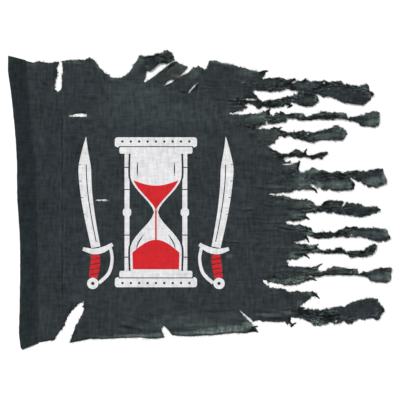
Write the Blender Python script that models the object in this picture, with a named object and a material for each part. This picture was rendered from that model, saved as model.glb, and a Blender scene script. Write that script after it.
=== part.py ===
"""A tattered flag of thin open gauze, lying face up on a flat surface.

The flag was cut as one length of cloth. Its hoist edge is turned over and stitched down as a sleeve
for a pole, and its fly end is torn into eleven long tatters. Two solids are built: flag_cloth, the
whole single layer with its tears, holes, tatters and folds, and pole_sleeve, the double hoist that
stays open from end to end.

The tables are in millimetres on the laid-out flag: x runs from the hoist to the fly, y from the
bottom edge to the top edge and z up from the surface.
"""

import math
import random

import bmesh
import bpy
from mathutils import Vector
from mathutils.geometry import delaunay_2d_cdt

MM = 0.001

# ---- cloth ----
CLOTH_THICK = 1.2        # the gauze with its loose nap
PIECE_GAP = 0.3          # between the cloth and the stitched foot of the sleeve
EDGE_STEP = 9.0          # a point this often along a torn edge
RAGGED = 1.1             # how far a torn edge wanders to either side
BODY_STEP = 27.0         # mesh size of the flat cloth
BUNCH_WIDTH = 26.0       # a tatter narrower than this is bunched up
BUNCH_HEIGHT = 3.6       # how much thicker a tatter is where it is pinched to nothing
SEED = 11

# ---- pole sleeve ----
SLEEVE_CROWN = 10.0      # height of the sleeve at its crown, kept by years on a pole
SLEEVE_WAVE = 0.7        # how much that height changes along the sleeve
SLEEVE_WAVES = 2.7       # how often, from the middle of the sleeve to its end
SLEEVE_FOOT = 6.0        # width of the stitched foot, where both layers lie together
SLEEVE_CROWN_AT = 0.42   # where the crown stands, as a share of the width from the fold
SLEEVE_STEP = 32.0       # spacing of the cross-sections
SLEEVE_SIDES = 12        # points along the top of a cross-section

# The sleeve from its top mouth to its bottom mouth, one row a section:
# y at the fold, x of the fold, y at the foot, x of the foot.
SLEEVE = (
    (378, -498.5, 366, -452.0),
    (340, -498.5, 334, -451.0),
    (290, -492.0, 286, -446.0),
    (190, -481.5, 188, -436.0),
    (100, -475.5, 100, -426.5),
    (0, -474.0, 0, -424.0),
    (-100, -469.0, -100, -421.5),
    (-210, -467.5, -206, -419.0),
    (-330, -469.5, -320, -420.0),
    (-393, -465.0, -378, -419.0),
)

# The torn top edge from the sleeve to the fly: x, y. It holds a long slit, a wide bite and three tabs.
TOP_EDGE = (
    (-430, 361), (-390, 358), (-364, 360), (-369, 345), (-369, 318), (-375, 302), (-371, 283),
    (-358, 289), (-355, 340), (-355, 361), (-325, 365), (-286, 370), (-268, 359), (-246, 334),
    (-226, 320), (-200, 319), (-181, 333), (-166, 360), (-153, 378), (-112, 380), (-81, 392),
    (-66, 385), (-60, 363), (-32, 349), (-16, 345), (6, 349), (18, 338), (29, 364), (57, 360),
    (100, 352), (127, 343), (155, 336), (180, 337), (174, 325),
)

# The line the tatters leave from, top to bottom: x, y of the inner end of each gap and of the ragged
# cloth beside it.
FLY_EDGE = (
    (167, 314), (147, 289), (142, 268), (118, 250), (131, 241), (84, 227), (118, 205), (152, 186),
    (170, 160), (184, 140), (210, 118), (223, 108), (241, 97), (256, 91), (264, 99), (267, 68),
    (228, 40), (184, 13), (215, -30), (233, -60), (240, -88), (248, -113), (238, -140), (233, -161),
    (239, -177), (210, -200), (174, -212), (179, -225), (225, -231), (241, -243), (270, -241),
    (311, -247), (314, -256), (300, -254), (282, -268), (268, -281), (262, -296), (246, -310),
)

# The bottom edge from the fly back to the sleeve: x, y. It holds three tears.
BOTTOM_EDGE = (
    (237, -326), (230, -321), (195, -322), (160, -318), (146, -321), (110, -293), (141, -325),
    (154, -341), (137, -350), (95, -350), (70, -353), (0, -358), (-67, -357), (-79, -342),
    (-92, -331), (-95, -346), (-88, -362), (-125, -366), (-190, -363), (-270, -366), (-337, -376),
    (-325, -347), (-303, -300), (-299, -267), (-322, -283), (-343, -308), (-351, -335), (-368, -352),
    (-378, -370),
)

# The tatters, each from its root to its torn end. A row is one section: x, lower edge, upper edge.
TATTERS = {
    "tatter_1": (
        (130, 292, 326), (168, 285, 315), (200, 285, 319), (232, 288, 315), (272, 283.5, 310),
        (314, 277.5, 310), (350, 269, 305), (372, 263, 312), (405, 250, 299), (440, 250, 302),
        (452, 264, 286), (461, 276, 279),
    ),
    "tatter_2": (
        (105, 251, 272), (132, 252, 280), (155, 241, 273), (168, 243, 257), (215, 241, 264),
        (240, 252, 271), (258, 253, 276.5), (272, 246, 281), (300, 243, 277), (313, 248, 274),
        (318, 257, 264),
    ),
    "tatter_3": (
        (68, 204, 222), (112, 198, 224), (150, 190, 227), (186, 198, 231), (200, 199, 223),
        (236, 208, 225), (284, 208, 218), (326, 210, 231), (386, 211, 226), (395, 210.5, 213.5),
        (412, 205, 218), (428, 194, 220), (464, 191, 230), (475, 191, 229),
    ),
    "tatter_4": (
        (138, 150, 183), (168, 146, 186), (200, 148, 187), (211, 165, 178), (240, 166, 176),
        (268, 158, 178), (305, 152, 178), (340, 156, 185), (362, 156, 193), (382, 158, 188),
        (390, 176, 184),
    ),
    "tatter_5": (
        (168, 100, 142), (205, 105, 125), (224, 109, 118), (246, 113, 125), (264, 111, 129),
        (282, 111, 120), (305, 109, 118), (326, 106, 122), (340, 119, 125),
    ),
    "tatter_6": (
        (172, 16, 84), (205, 16, 84), (240, 19, 86), (264, 26, 74), (276, 26, 68), (300, 24, 79), (318, 31, 76),
        (332, 26, 73), (362, 21, 71), (396, 25, 73), (411, 26, 74), (417, 49, 74), (440, 38, 74),
        (456, 31, 78), (484, 36, 80), (498, 44, 50),
    ),
    "tatter_7": (
        (172, -52, 11), (205, -54, 9), (256, -57, -1), (279, -54, -1), (288, -36, -2), (312, -33, -18),
        (330, -33, -10), (352, -34, -2), (380, -40, -5), (422, -46, -12), (446, -44, -19),
        (466, -37, -19), (478, -32, -27),
    ),
    "tatter_8": (
        (212, -110, -64), (262, -109, -67), (281, -105, -70), (296, -94, -76), (312, -99, -86),
        (338, -102, -86), (360, -97, -88), (380, -97, -79), (394, -99, -72), (420, -98, -72),
        (452, -105, -76), (478, -114, -76), (496, -108, -77), (504, -104, -98),
    ),
    "tatter_9": (
        (212, -158, -116), (256, -158, -116), (277, -148, -118), (300, -140, -120), (316, -140, -131),
        (350, -140, -131), (362, -143, -132), (372, -141, -127), (393, -143, -137), (402, -152, -136),
        (436, -151, -134), (446, -150, -124), (462, -145, -118), (469, -133, -126),
    ),
    "tatter_10": (
        (150, -212, -176), (186, -220, -177), (240, -226, -178), (288, -217, -177), (314, -206, -177),
        (322, -202, -190), (358, -199, -177), (396, -199, -181), (416, -198, -182), (424, -198, -195),
        (446, -204, -189), (458, -215, -187), (482, -217, -180), (506, -218, -179),
    ),
    "tatter_11": (
        (226, -312, -282), (268, -310, -287), (292, -322, -290), (320, -330, -291), (352, -323, -287),
        (380, -321, -283), (402, -326, -272), (430, -314, -263), (456, -311, -260), (474, -317, -264),
        (483, -300, -275), (491, -292, -287),
    ),
}

# Tears and holes inside the cloth. A row is one section along the opening: x, y, width there.
OPENINGS = {
    "slot_under_the_first_tab": ((-141, 308, 2), (-128, 325, 13), (-108, 340, 17), (-90, 351, 14),
                                 (-66, 361, 6), (-52, 366, 4)),
    "slit_in_the_second_tab": ((-53, 321, 2), (-38, 331, 5), (-22, 346, 11), (-14, 356, 12)),
    "hole_in_the_second_tab": ((-88, 299, 2), (-76, 308, 8), (-60, 315, 2)),
    "slit_below_the_third_tab": ((-26, 279, 2), (-14, 293, 6), (-1, 306, 2)),
    "hole_by_the_hoist": ((-339, 219, 2), (-318, 221, 8), (-292, 221, 8)),
    "hole_by_the_print": ((-272, -1, 2), (-255, -1, 5), (-240, -1, 2)),
    "slit_above_tatter_2": ((120, 262, 2), (135, 262, 4), (150, 262, 2)),
    "slit_above_tatter_6": ((222, 92, 2), (232, 92, 5), (250, 94, 4)),
    "notch_in_tatter_6": ((297, 40, 6), (304, 35, 6), (312, 29, 7)),
    "cut_in_tatter_6": ((401, 57, 2), (409, 51, 6), (418, 42, 9)),
    "cut_in_tatter_7": ((380, -19, 4), (386, -13, 4), (393, -5, 5)),
}

# Soft folds and creases that stand up from the surface: x, y of one end, x, y of the other end,
# half width of the foot, height. The first is the old fold line down the flag, then the tabs, the fan
# of wrinkles that the tatters pull into the cloth, and the folds along the bottom edge.
FOLDS = (
    (-357, 270, -356, -310, 9, 1.2),
    (-140, 322, -84, 372, 12, 3.0),
    (-92, 322, -20, 318, 13, 2.4),
    (18, 325, 70, 300, 12, 2.2),
    (100, 330, 160, 318, 11, 2.6),
    (95, 300, 170, 300, 12, 2.4),
    (60, 250, 150, 232, 11, 2.0),
    (95, 205, 185, 214, 9, 2.6),
    (110, 170, 205, 172, 10, 2.6),
    (130, 120, 225, 112, 9, 2.2),
    (150, 78, 262, 74, 12, 2.4),
    (170, 48, 300, 58, 12, 2.8),
    (140, 30, 255, 34, 10, 2.0),
    (160, -12, 285, -14, 11, 2.2),
    (175, -34, 280, -28, 9, 2.8),
    (150, -76, 262, -84, 10, 2.6),
    (160, -132, 285, -130, 11, 2.2),
    (165, -186, 290, -190, 11, 2.4),
    (190, -205, 290, -206, 8, 2.0),
    (170, -262, 262, -258, 12, 2.2),
    (190, -300, 290, -300, 9, 3.0),
    (-190, -345, 40, -330, 12, 1.8),
    (-140, -290, 90, -262, 13, 1.4),
    (-250, -300, -120, -318, 12, 1.4),
    (-405, 300, -300, 330, 13, 1.6),
    (-260, 300, -215, 262, 12, 1.8),
    (-20, 262, 60, 220, 12, 1.6),
)

# The first tab is turned back on itself, two layers thick: x, y, half length, half height, extra.
TURNED_TAB = (-108, 366, 42, 16, 1.5)


def clear_scene():
    """Empty the scene of what it opens with."""
    for thing in list(bpy.data.objects):
        bpy.data.objects.remove(thing, do_unlink=True)


def gauze(name, colour, roughness):
    """A plain cloth material with the flag's colour."""
    material = bpy.data.materials.new(name)
    material.use_nodes = True
    shader = material.node_tree.nodes["Principled BSDF"]
    shader.inputs["Base Color"].default_value = (*colour, 1.0)
    shader.inputs["Roughness"].default_value = roughness
    shader.inputs["Metallic"].default_value = 0.0
    return material


def smooth_rows(rows, column, at):
    """The value of a column at one place along the first column, eased between the rows."""
    for before, after in zip(rows, rows[1:]):
        if at <= after[0]:
            share = max(0.0, (at - before[0]) / (after[0] - before[0]))
            ease = share * share * (3 - 2 * share)
            return before[column] + (after[column] - before[column]) * ease
    return rows[-1][column]


def walk(corners, step):
    """Points every step or so along straight runs between the corners, corners kept."""
    points = []
    for start, end in zip(corners, corners[1:]):
        a, b = Vector(start), Vector(end)
        count = max(1, round((b - a).length / step))
        points += [a.lerp(b, k / count) for k in range(count)]
    return points + [Vector(corners[-1])]


def ragged(points, rng, amount):
    """The same points pushed a little to either side, as a torn edge of loose cloth is."""
    return [point + Vector((rng.uniform(-amount, amount), rng.uniform(-amount, amount)))
            for point in points]


def body_outline(rng):
    """The whole cloth without its tatters, anticlockwise from the foot of the sleeve."""
    foot = [Vector((x + PIECE_GAP, y)) for _, _, y, x in SLEEVE]
    torn = list(TOP_EDGE) + list(FLY_EDGE) + list(BOTTOM_EDGE)
    edge = ragged(walk(torn, EDGE_STEP), rng, RAGGED)
    return walk(foot, BODY_STEP) + edge[::-1]


def tatter_outline(rows, rng):
    """One tatter as a closed outline, out along its lower edge and back along its upper edge."""
    start, end = rows[0][0], rows[-1][0]
    count = max(2, round((end - start) / EDGE_STEP))
    places = [start + (end - start) * k / count for k in range(count + 1)]
    low = [Vector((x, smooth_rows(rows, 1, x))) for x in places]
    high = [Vector((x, smooth_rows(rows, 2, x))) for x in places]
    end_cloth = walk([low[-1], high[-1]], EDGE_STEP)[1:-1]
    return ragged(low + end_cloth + high[::-1], rng, 0.8 * RAGGED)


def opening_outline(rows):
    """A slit or hole that follows its rows, as wide at each as the row says."""
    left, right = [], []
    for k, (x, y, width) in enumerate(rows):
        before, after = rows[max(k - 1, 0)], rows[min(k + 1, len(rows) - 1)]
        along = Vector((after[0] - before[0], after[1] - before[1])).normalized()
        across = Vector((-along.y, along.x)) * width / 2
        left.append(Vector((x, y)) + across)
        right.append(Vector((x, y)) - across)
    return right + left[::-1]


def tatter_height(rows, x, y):
    """How much a bunched tatter adds to the cloth's thickness at one place."""
    low, high = smooth_rows(rows, 1, x), smooth_rows(rows, 2, x)
    width = max(high - low, 1.0)
    across = (2 * y - low - high) / width
    if x < rows[1][0] or abs(across) >= 1:
        return 0.0
    pinch = max(0.0, 1 - width / BUNCH_WIDTH)
    return BUNCH_HEIGHT * pinch * (1 - across * across)


def fold_lift(x, y):
    """How far the folds lift the cloth off the surface at one place."""
    lift = 0.0
    for x0, y0, x1, y1, half, height in FOLDS:
        along = Vector((x1 - x0, y1 - y0))
        from_end = Vector((x - x0, y - y0))
        share = max(0.0, min(1.0, from_end.dot(along) / along.length_squared))
        away = (from_end - along * share).length / half
        if away < 1:
            taper = math.sin(math.pi * (0.12 + 0.76 * share))
            lift = max(lift, height * taper * (0.5 + 0.5 * math.cos(math.pi * away)))
    return lift


def extra_thickness(x, y):
    """What the bunched tatters and the turned tab add to the cloth's own thickness."""
    tab_x, tab_y, half_x, half_y, extra = TURNED_TAB
    away = math.hypot((x - tab_x) / half_x, (y - tab_y) / half_y)
    tab = extra * max(0.0, min(1.0, 2.5 * (1 - away)))
    return max([tab] + [tatter_height(rows, x, y) for rows in TATTERS.values()])


def inner_points(outlines):
    """Points inside the cloth that carry its folds: an even spread, the folds and the tatters."""
    points = []
    row_height = BODY_STEP * math.sqrt(3) / 2
    for row in range(-16, 17):
        for column in range(-19, 12):
            points.append(Vector(((column + 0.5 * (row % 2)) * BODY_STEP, row * row_height)))
    for x0, y0, x1, y1, half, _ in FOLDS:
        along = Vector((x1 - x0, y1 - y0)).normalized()
        across = Vector((-along.y, along.x)) * half
        line = walk([(x0, y0), (x1, y1)], 1.5 * half)
        points += line + [p + across for p in line] + [p - across for p in line]
    for rows in TATTERS.values():
        for x in range(int(rows[1][0]), int(rows[-1][0]) - 4, 12):
            middle = (smooth_rows(rows, 1, x) + smooth_rows(rows, 2, x)) / 2
            points.append(Vector((x, middle)))
    edges = [point for outline in outlines for point in outline]
    kept = []
    for point in points:
        near_edge = any((point - other).length < 0.45 * EDGE_STEP for other in edges)
        near_kept = any((point - other).length < 0.8 * EDGE_STEP for other in kept)
        if not near_edge and not near_kept:
            kept.append(point)
    return kept


def flat_cloth():
    """Triangles of the cloth's plan: the body and every tatter, less each tear and hole."""
    rng = random.Random(SEED)
    cloth = [body_outline(rng)] + [tatter_outline(rows, rng) for rows in TATTERS.values()]
    holes = [opening_outline(rows) for rows in OPENINGS.values()]
    points, faces = [], []
    for outline in cloth + holes:
        faces.append(list(range(len(points), len(points) + len(outline))))
        points += outline
    points += inner_points(cloth + holes)
    found = delaunay_2d_cdt(points, [], faces, 0, 0.01, True)
    inside = []
    for corners, sources in zip(found[2], found[5]):
        if sources and min(sources) < len(cloth) and max(sources) < len(cloth):
            inside.append(corners)
    return found[0], inside


def build_cloth(collection):
    """The one-piece cloth: its plan made solid, then shaped by folds and bunched tatters."""
    points, triangles = flat_cloth()
    mesh = bpy.data.meshes.new("flag_cloth")
    flag = bpy.data.objects.new("flag_cloth", mesh)
    collection.objects.link(flag)
    shape = bmesh.new()
    corners = [shape.verts.new((*point, 0.0)) for point in points]
    for triangle in triangles:
        shape.faces.new([corners[k] for k in triangle])
    loose = [corner for corner in shape.verts if not corner.link_faces]
    bmesh.ops.delete(shape, geom=loose, context="VERTS")
    bmesh.ops.recalc_face_normals(shape, faces=shape.faces)
    if sum(face.normal.z for face in shape.faces) > 0:
        bmesh.ops.reverse_faces(shape, faces=shape.faces)
    under = list(shape.verts)
    grown = bmesh.ops.extrude_face_region(shape, geom=list(shape.faces), use_keep_orig=True)
    over = [thing for thing in grown["geom"] if isinstance(thing, bmesh.types.BMVert)]
    for corner in under:
        corner.co.z = fold_lift(corner.co.x, corner.co.y)
    for corner in over:
        x, y = corner.co.x, corner.co.y
        corner.co.z = fold_lift(x, y) + CLOTH_THICK + extra_thickness(x, y)
    bmesh.ops.recalc_face_normals(shape, faces=shape.faces)
    bmesh.ops.scale(shape, vec=(MM, MM, MM), verts=shape.verts)
    shape.to_mesh(mesh)
    shape.free()
    mesh.materials.append(gauze("faded_black_gauze", (0.034, 0.042, 0.048), 0.92))
    return flag


def sleeve_sections():
    """The sleeve's table with more rows put in between, about one every SLEEVE_STEP."""
    sections = []
    for above, below in zip(SLEEVE, SLEEVE[1:]):
        count = max(1, round((above[0] - below[0]) / SLEEVE_STEP))
        for k in range(count):
            sections.append([a + (b - a) * k / count for a, b in zip(above, below)])
    return sections + [list(SLEEVE[-1])]


def sleeve_rings(fold_y, fold_x, foot_y, foot_x):
    """Outer and inner rings of one cross-section of the sleeve."""
    fold, foot = Vector((fold_x, fold_y)), Vector((foot_x, foot_y))
    crown = SLEEVE_CROWN + SLEEVE_WAVE * math.sin(SLEEVE_WAVES * math.pi * fold_y / SLEEVE[0][0])

    def ring(inset, end):
        """The flat underside, then the arched top from the foot back to the fold."""
        width = (foot - fold).length
        start, stop = inset / width, 1 - end / width
        top_height = crown - 2 * inset
        points = [(start + 0.02, inset), (0.35, inset), (0.7, inset), (stop, inset)]
        foot_height = max(2 * CLOTH_THICK - 2 * inset, 0.25)
        for k in range(SLEEVE_SIDES + 1):
            t = k / SLEEVE_SIDES
            across = stop + (start - stop) * t
            bent = math.log(0.5) / math.log(1 - SLEEVE_CROWN_AT)
            arch = math.sin(math.pi * t ** bent) ** 0.9 if 0 < t < 1 else 0.0
            rest = foot_height * (1 - t) + 0.3 * top_height * t
            points.append((across, inset + max(rest, rest + (top_height - rest) * arch)))
        return [Vector((*fold.lerp(foot, across), z)) for across, z in points]

    return ring(0.0, 0.0), ring(CLOTH_THICK, SLEEVE_FOOT)


def build_sleeve(collection):
    """The hoist turned over into a flat tube that is open at both ends."""
    shape = bmesh.new()
    rings = []
    for section in sleeve_sections():
        outer, inner = sleeve_rings(*section)
        rings.append(([shape.verts.new(point) for point in outer],
                      [shape.verts.new(point) for point in inner]))
    sides = len(rings[0][0])
    for (outer_a, inner_a), (outer_b, inner_b) in zip(rings, rings[1:]):
        for k in range(sides):
            n = (k + 1) % sides
            shape.faces.new((outer_a[k], outer_a[n], outer_b[n], outer_b[k]))
            shape.faces.new((inner_a[n], inner_a[k], inner_b[k], inner_b[n]))
    for outer, inner in (rings[0], rings[-1]):
        for k in range(sides):
            n = (k + 1) % sides
            shape.faces.new((outer[k], outer[n], inner[n], inner[k]))
    bmesh.ops.triangulate(shape, faces=shape.faces)
    bmesh.ops.recalc_face_normals(shape, faces=shape.faces)
    bmesh.ops.scale(shape, vec=(MM, MM, MM), verts=shape.verts)
    mesh = bpy.data.meshes.new("pole_sleeve")
    shape.to_mesh(mesh)
    shape.free()
    sleeve = bpy.data.objects.new("pole_sleeve", mesh)
    collection.objects.link(sleeve)
    mesh.materials.append(gauze("double_black_gauze", (0.019, 0.025, 0.029), 0.9))
    return sleeve


def centre_on_origin(pieces):
    """Move the flag so that the middle of its underside is the origin."""
    corners = [corner.co for piece in pieces for corner in piece.data.vertices]
    middle = [(min(c[axis] for c in corners) + max(c[axis] for c in corners)) / 2 for axis in (0, 1)]
    for piece in pieces:
        for corner in piece.data.vertices:
            corner.co.x -= middle[0]
            corner.co.y -= middle[1]
    print("flag moved by", [round(-value / MM, 3) for value in middle], "mm")


def main():
    clear_scene()
    collection = bpy.data.collections.new("tattered_flag")
    bpy.context.scene.collection.children.link(collection)
    pieces = [build_cloth(collection), build_sleeve(collection)]
    centre_on_origin(pieces)
    for piece in pieces:
        print(piece.name, len(piece.data.vertices), "corners", len(piece.data.polygons), "faces")


main()
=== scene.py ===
# %% [markdown]
# # A tattered flag of open gauze
# The flag lies face up on a flat surface. It was cut as one length of thin black gauze. The hoist
# edge is turned over and stitched down as a sleeve for a pole, and the fly end is torn into eleven
# long tatters. The imported CAD model is loaded first, because every piece below takes its place
# from it. All tables are in millimetres on the laid-out flag: x runs from the hoist to the
# fly, y from the bottom edge to the top edge and z up from the surface.

import math
import random

import bpy
import numpy as np
from mathutils import Euler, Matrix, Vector, noise
from mathutils.geometry import delaunay_2d_cdt
from mathutils.kdtree import KDTree


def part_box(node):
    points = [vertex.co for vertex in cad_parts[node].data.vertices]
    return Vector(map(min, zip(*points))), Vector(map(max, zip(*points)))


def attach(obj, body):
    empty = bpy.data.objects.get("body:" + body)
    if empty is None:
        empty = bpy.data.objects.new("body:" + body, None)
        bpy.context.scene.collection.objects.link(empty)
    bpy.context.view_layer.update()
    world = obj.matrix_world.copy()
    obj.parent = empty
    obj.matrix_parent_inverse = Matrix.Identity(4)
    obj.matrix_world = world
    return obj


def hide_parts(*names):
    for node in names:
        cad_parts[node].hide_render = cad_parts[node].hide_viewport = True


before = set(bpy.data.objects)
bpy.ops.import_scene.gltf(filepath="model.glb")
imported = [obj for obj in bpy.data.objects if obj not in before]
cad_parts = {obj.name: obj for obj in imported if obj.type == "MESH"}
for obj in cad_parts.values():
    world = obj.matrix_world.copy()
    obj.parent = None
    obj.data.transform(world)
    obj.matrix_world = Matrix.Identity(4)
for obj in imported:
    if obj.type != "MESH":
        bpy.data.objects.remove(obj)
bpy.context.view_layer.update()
MM = 0.001

# %% [markdown]
# ## The cut of the flag
# A flag maker would draw the cloth flat, so the outline is kept as short tables that can be read and
# changed by hand. The sleeve is a row of sections, the torn edges are walks from corner to corner, and
# each tatter is a row of sections with a lower and an upper edge. Functions turn them into outlines.

# %% Tables of the hoist and the torn edges
# y at the fold, x of the fold, y at the stitched foot, x of the foot
SLEEVE = (
    (378, -498.5, 366, -452), (340, -499, 334, -451), (320, -496.5, 312, -449), (290, -492, 286, -446),
    (240, -486, 238, -441), (190, -481.5, 188, -436), (140, -477.5, 138, -431), (100, -475.5, 100, -426.5),
    (0, -474, 0, -424), (-60, -470.5, -60, -422.5), (-100, -469, -100, -421.5), (-210, -467.5, -206, -419),
    (-290, -468, -284, -419.5), (-350, -470, -338, -420), (-395, -465, -378.5, -419),
)

# The torn top edge from the sleeve to the fly: x, y
TOP_EDGE = (
    (-430, 361.5), (-400, 360), (-388, 357.5), (-366, 361), (-367, 352), (-369.5, 338), (-369, 318),
    (-374, 315), (-376, 300), (-373.5, 288), (-369, 281.5), (-362, 286), (-357.5, 289), (-356.5, 312),
    (-354.5, 340), (-356, 361), (-340, 365.5), (-305, 366), (-288, 370.5), (-276, 369), (-268, 359),
    (-258, 346.5), (-246, 335), (-232, 324), (-224, 320), (-200, 319), (-190, 327), (-181, 333),
    (-174, 343), (-166, 359), (-155, 371), (-153, 378.5), (-140, 375), (-120, 378.5), (-100, 384),
    (-81, 392), (-76, 388), (-67, 385.5), (-64, 378), (-60, 363), (-50, 359), (-30, 348.5), (-16, 345),
    (5, 349.5), (16, 342), (20, 337), (24, 346), (28, 362), (33, 365), (45, 364), (57, 360),
    (82, 356), (100, 352), (125, 344), (152, 337), (166, 335), (181, 337.5), (174, 330), (173, 325),
)

# The line the tatters leave from, top to bottom: x, y
FLY_EDGE = (
    (167, 314), (147, 289), (142, 268), (120, 251), (131, 241.5), (115, 234), (83, 226.5), (118, 205),
    (152, 186), (170, 160), (183, 139), (205, 124), (222, 108), (232, 99), (241, 97.5), (250, 93),
    (262, 98), (268, 101), (265, 90), (267, 68), (228, 40), (183, 13), (215, -30), (232, -61),
    (240, -88), (248, -113), (238, -140), (232, -162), (239, -177), (210, -200), (173, -212),
    (177, -225), (189, -231), (207, -233.5), (225, -235), (235, -241), (245, -244), (260, -240.5),
    (285, -243), (303, -246), (312, -247), (317, -257), (308, -253), (300, -254), (291, -263),
    (281, -270), (272, -275), (268, -284), (262, -298), (246, -310),
)

# The bottom edge from the fly back to the sleeve: x, y
BOTTOM_EDGE = (
    (236, -330), (228, -321.5), (212, -323), (195, -322), (160, -318), (148, -321), (140, -315),
    (121, -299.5), (109, -290.5), (118.5, -303.5), (131, -315.5), (142, -326), (147, -338), (154, -340),
    (156, -346), (143, -348), (125, -352), (100, -350), (75, -353), (40, -357), (0, -358),
    (-20, -360), (-67, -357), (-73, -349), (-79, -341), (-92, -330.5), (-95, -345), (-90, -357),
    (-88, -363), (-110, -366), (-130, -366), (-150, -363), (-200, -364), (-250, -367), (-285, -366),
    (-300, -370), (-337, -377), (-331, -361), (-327, -349), (-315, -322), (-304, -304), (-299, -288),
    (-299, -266), (-312, -276), (-325, -287), (-339, -303), (-347, -320), (-351, -334), (-360, -343),
    (-372, -359), (-378, -370.5), (-391, -371), (-405, -374),
)

print(len(SLEEVE), "sections of the sleeve,", len(TOP_EDGE + FLY_EDGE + BOTTOM_EDGE), "torn corners")

# %% Table of the tatters
# Each tatter from its root to its torn end: x, lower edge, upper edge
TATTERS = {
    "tatter_1": (
        (130, 292, 326), (150, 287, 322), (168, 285, 315), (186, 284, 319), (205, 284, 319),
        (218, 285, 320), (236, 290, 314), (254, 287, 317), (262, 284, 311), (280, 280, 312),
        (314, 277, 310), (330, 269, 312), (348, 271, 308), (362, 265, 311), (375, 258, 311),
        (389, 253, 301), (412, 250, 300), (424, 248, 296), (436, 248, 302), (447, 257, 303),
        (450, 260, 286), (458, 271, 281), (462, 276, 279),
    ),
    "tatter_2": (
        (105, 251, 272), (121, 250, 279), (133, 252, 280), (145, 248, 280), (154, 240, 274),
        (160, 240, 263), (168, 244, 256.5), (182, 241, 259), (200, 241, 261), (215, 241, 264),
        (236, 249, 270), (243, 246, 271), (246, 257, 272), (256, 254, 276), (267, 248, 281),
        (280, 244, 281), (298, 243, 279), (307, 246, 276), (313, 252, 272), (316, 259, 265),
    ),
    "tatter_3": (
        (68, 204, 222), (112, 198, 223), (152, 187, 226), (176, 197, 231), (187, 198, 235),
        (190, 198, 221), (198, 199, 221), (208, 200, 229), (222, 202, 229), (231, 203, 225),
        (236, 214, 224), (248, 213, 226), (275, 207.5, 226), (287, 207, 217), (298, 209, 220),
        (315, 210, 226), (330, 210, 232), (345, 210, 229), (364, 211, 229), (380, 211, 227),
        (391, 212, 226), (393, 209.5, 213.5), (404, 207, 216), (418, 202, 219), (430, 194, 220),
        (448, 192, 227), (464, 191, 231), (474, 193, 229), (477, 203, 228),
    ),
    "tatter_4": (
        (138, 146, 183), (160, 143, 186), (186, 141.5, 184), (201, 147.5, 187), (208, 158, 188),
        (214, 167, 183), (226, 164, 179), (238, 165.5, 176.5), (262, 160, 177), (276, 156, 180),
        (293, 152, 179), (303, 151, 177), (320, 156, 179), (340, 155, 184), (352, 157, 190),
        (362, 156, 194), (374, 156, 190), (383, 158, 186), (390, 172, 181),
    ),
    "tatter_5": (
        (168, 100, 143), (184, 100, 138.5), (205, 104, 127.5), (224, 109, 119), (236, 111, 120),
        (248, 113, 127), (256, 112, 130), (268, 110, 127), (281, 112, 122), (288, 110, 116),
        (303, 107, 118), (318, 109.5, 121), (323, 104, 122), (332, 112, 125), (339, 120, 125),
    ),
    "tatter_6": (
        (172, 14.5, 84), (205, 16, 82), (240, 19, 78), (254, 24, 72), (264, 26, 69), (278, 26, 71),
        (292, 25, 76), (301, 25, 82), (310, 30, 80), (320, 32, 75), (328, 26, 75), (345, 27, 70),
        (358, 23, 71), (371, 22, 76), (382, 23, 68), (394, 24, 76), (402, 25, 73), (410, 26, 74),
        (416, 49, 74), (428, 46, 74), (440, 38, 74), (452, 32, 77), (470, 32, 79), (484, 36, 80),
        (490, 40, 66), (498, 44, 51),
    ),
    "tatter_7": (
        (172, -52, 14.5), (190, -54, 12.5), (208, -55, 10), (222, -57, 8), (236, -57, 5.5), (252, -57, 1),
        (276, -54, -1), (286, -36, -1), (300, -34, -6), (312, -33, -17), (320, -33, -18),
        (335, -33, -6), (350, -34, -2), (364, -36, -3), (380, -40, -5), (400, -42, -9),
        (422, -46, -12), (446, -44, -20), (466, -36, -18), (474, -33, -24), (479, -30, -27),
    ),
    "tatter_8": (
        (212, -110, -64), (236, -112, -67), (247, -112, -66), (256, -110, -69), (272, -108, -66),
        (282, -104, -69), (287, -94, -72), (298, -96, -76), (302, -99, -85), (318, -102, -86),
        (340, -102, -85), (360, -98.5, -85.5), (380, -97.5, -79), (393, -99, -72), (408, -100, -71),
        (418, -99, -72), (424, -99, -74.5), (450, -104, -75), (465, -110, -76.5), (478, -114, -77),
        (490, -109, -76), (498, -106, -80), (504, -104, -97),
    ),
    "tatter_9": (
        (212, -158, -116), (240, -159, -114), (256, -158, -115), (268, -153, -116), (279, -145, -117),
        (297, -140, -120), (308, -140, -119), (314, -140, -126), (325, -141, -133), (350, -141, -132),
        (358, -143, -133), (366, -142, -127), (377, -141, -126.5), (381, -142, -134.5),
        (393, -144, -137.5), (402, -152, -136), (412, -151, -134.5), (436, -151, -134.5),
        (445, -149, -126), (452, -147, -121), (463, -140, -117), (469, -131, -123),
    ),
    "tatter_10": (
        (150, -209, -178), (173, -209, -177), (186, -218, -177), (215, -221.5, -177), (240, -226, -177),
        (255, -224, -177), (272, -220, -177), (290, -215, -177), (302, -206, -177), (312, -203, -177),
        (322, -202, -189.5), (334, -199, -188), (345, -199, -181), (358, -199, -176.5),
        (380, -199, -179), (396, -199, -182), (418, -198.5, -182), (422, -200, -193.5),
        (429, -200.5, -193.5), (440, -202, -190.5), (458, -215, -187), (474, -216.5, -181),
        (490, -219, -178.5), (504, -218, -178.5), (508, -204, -180),
    ),
    "tatter_11": (
        (226, -312, -282), (246, -310, -286), (268, -311, -287), (280, -314, -289.5), (296, -323, -289),
        (306, -330, -289), (320, -331, -291), (340, -327, -287), (352, -323, -284), (364, -327, -282),
        (374, -324, -281), (382, -319, -283), (392, -325, -277), (402, -327, -272), (412, -319, -268),
        (422, -314, -265), (446, -314, -260), (458, -310.5, -260), (468, -316, -261),
        (477, -317, -270), (482, -301, -279), (490, -294, -287),
    ),
}

print(len(TATTERS), "tatters")

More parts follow.
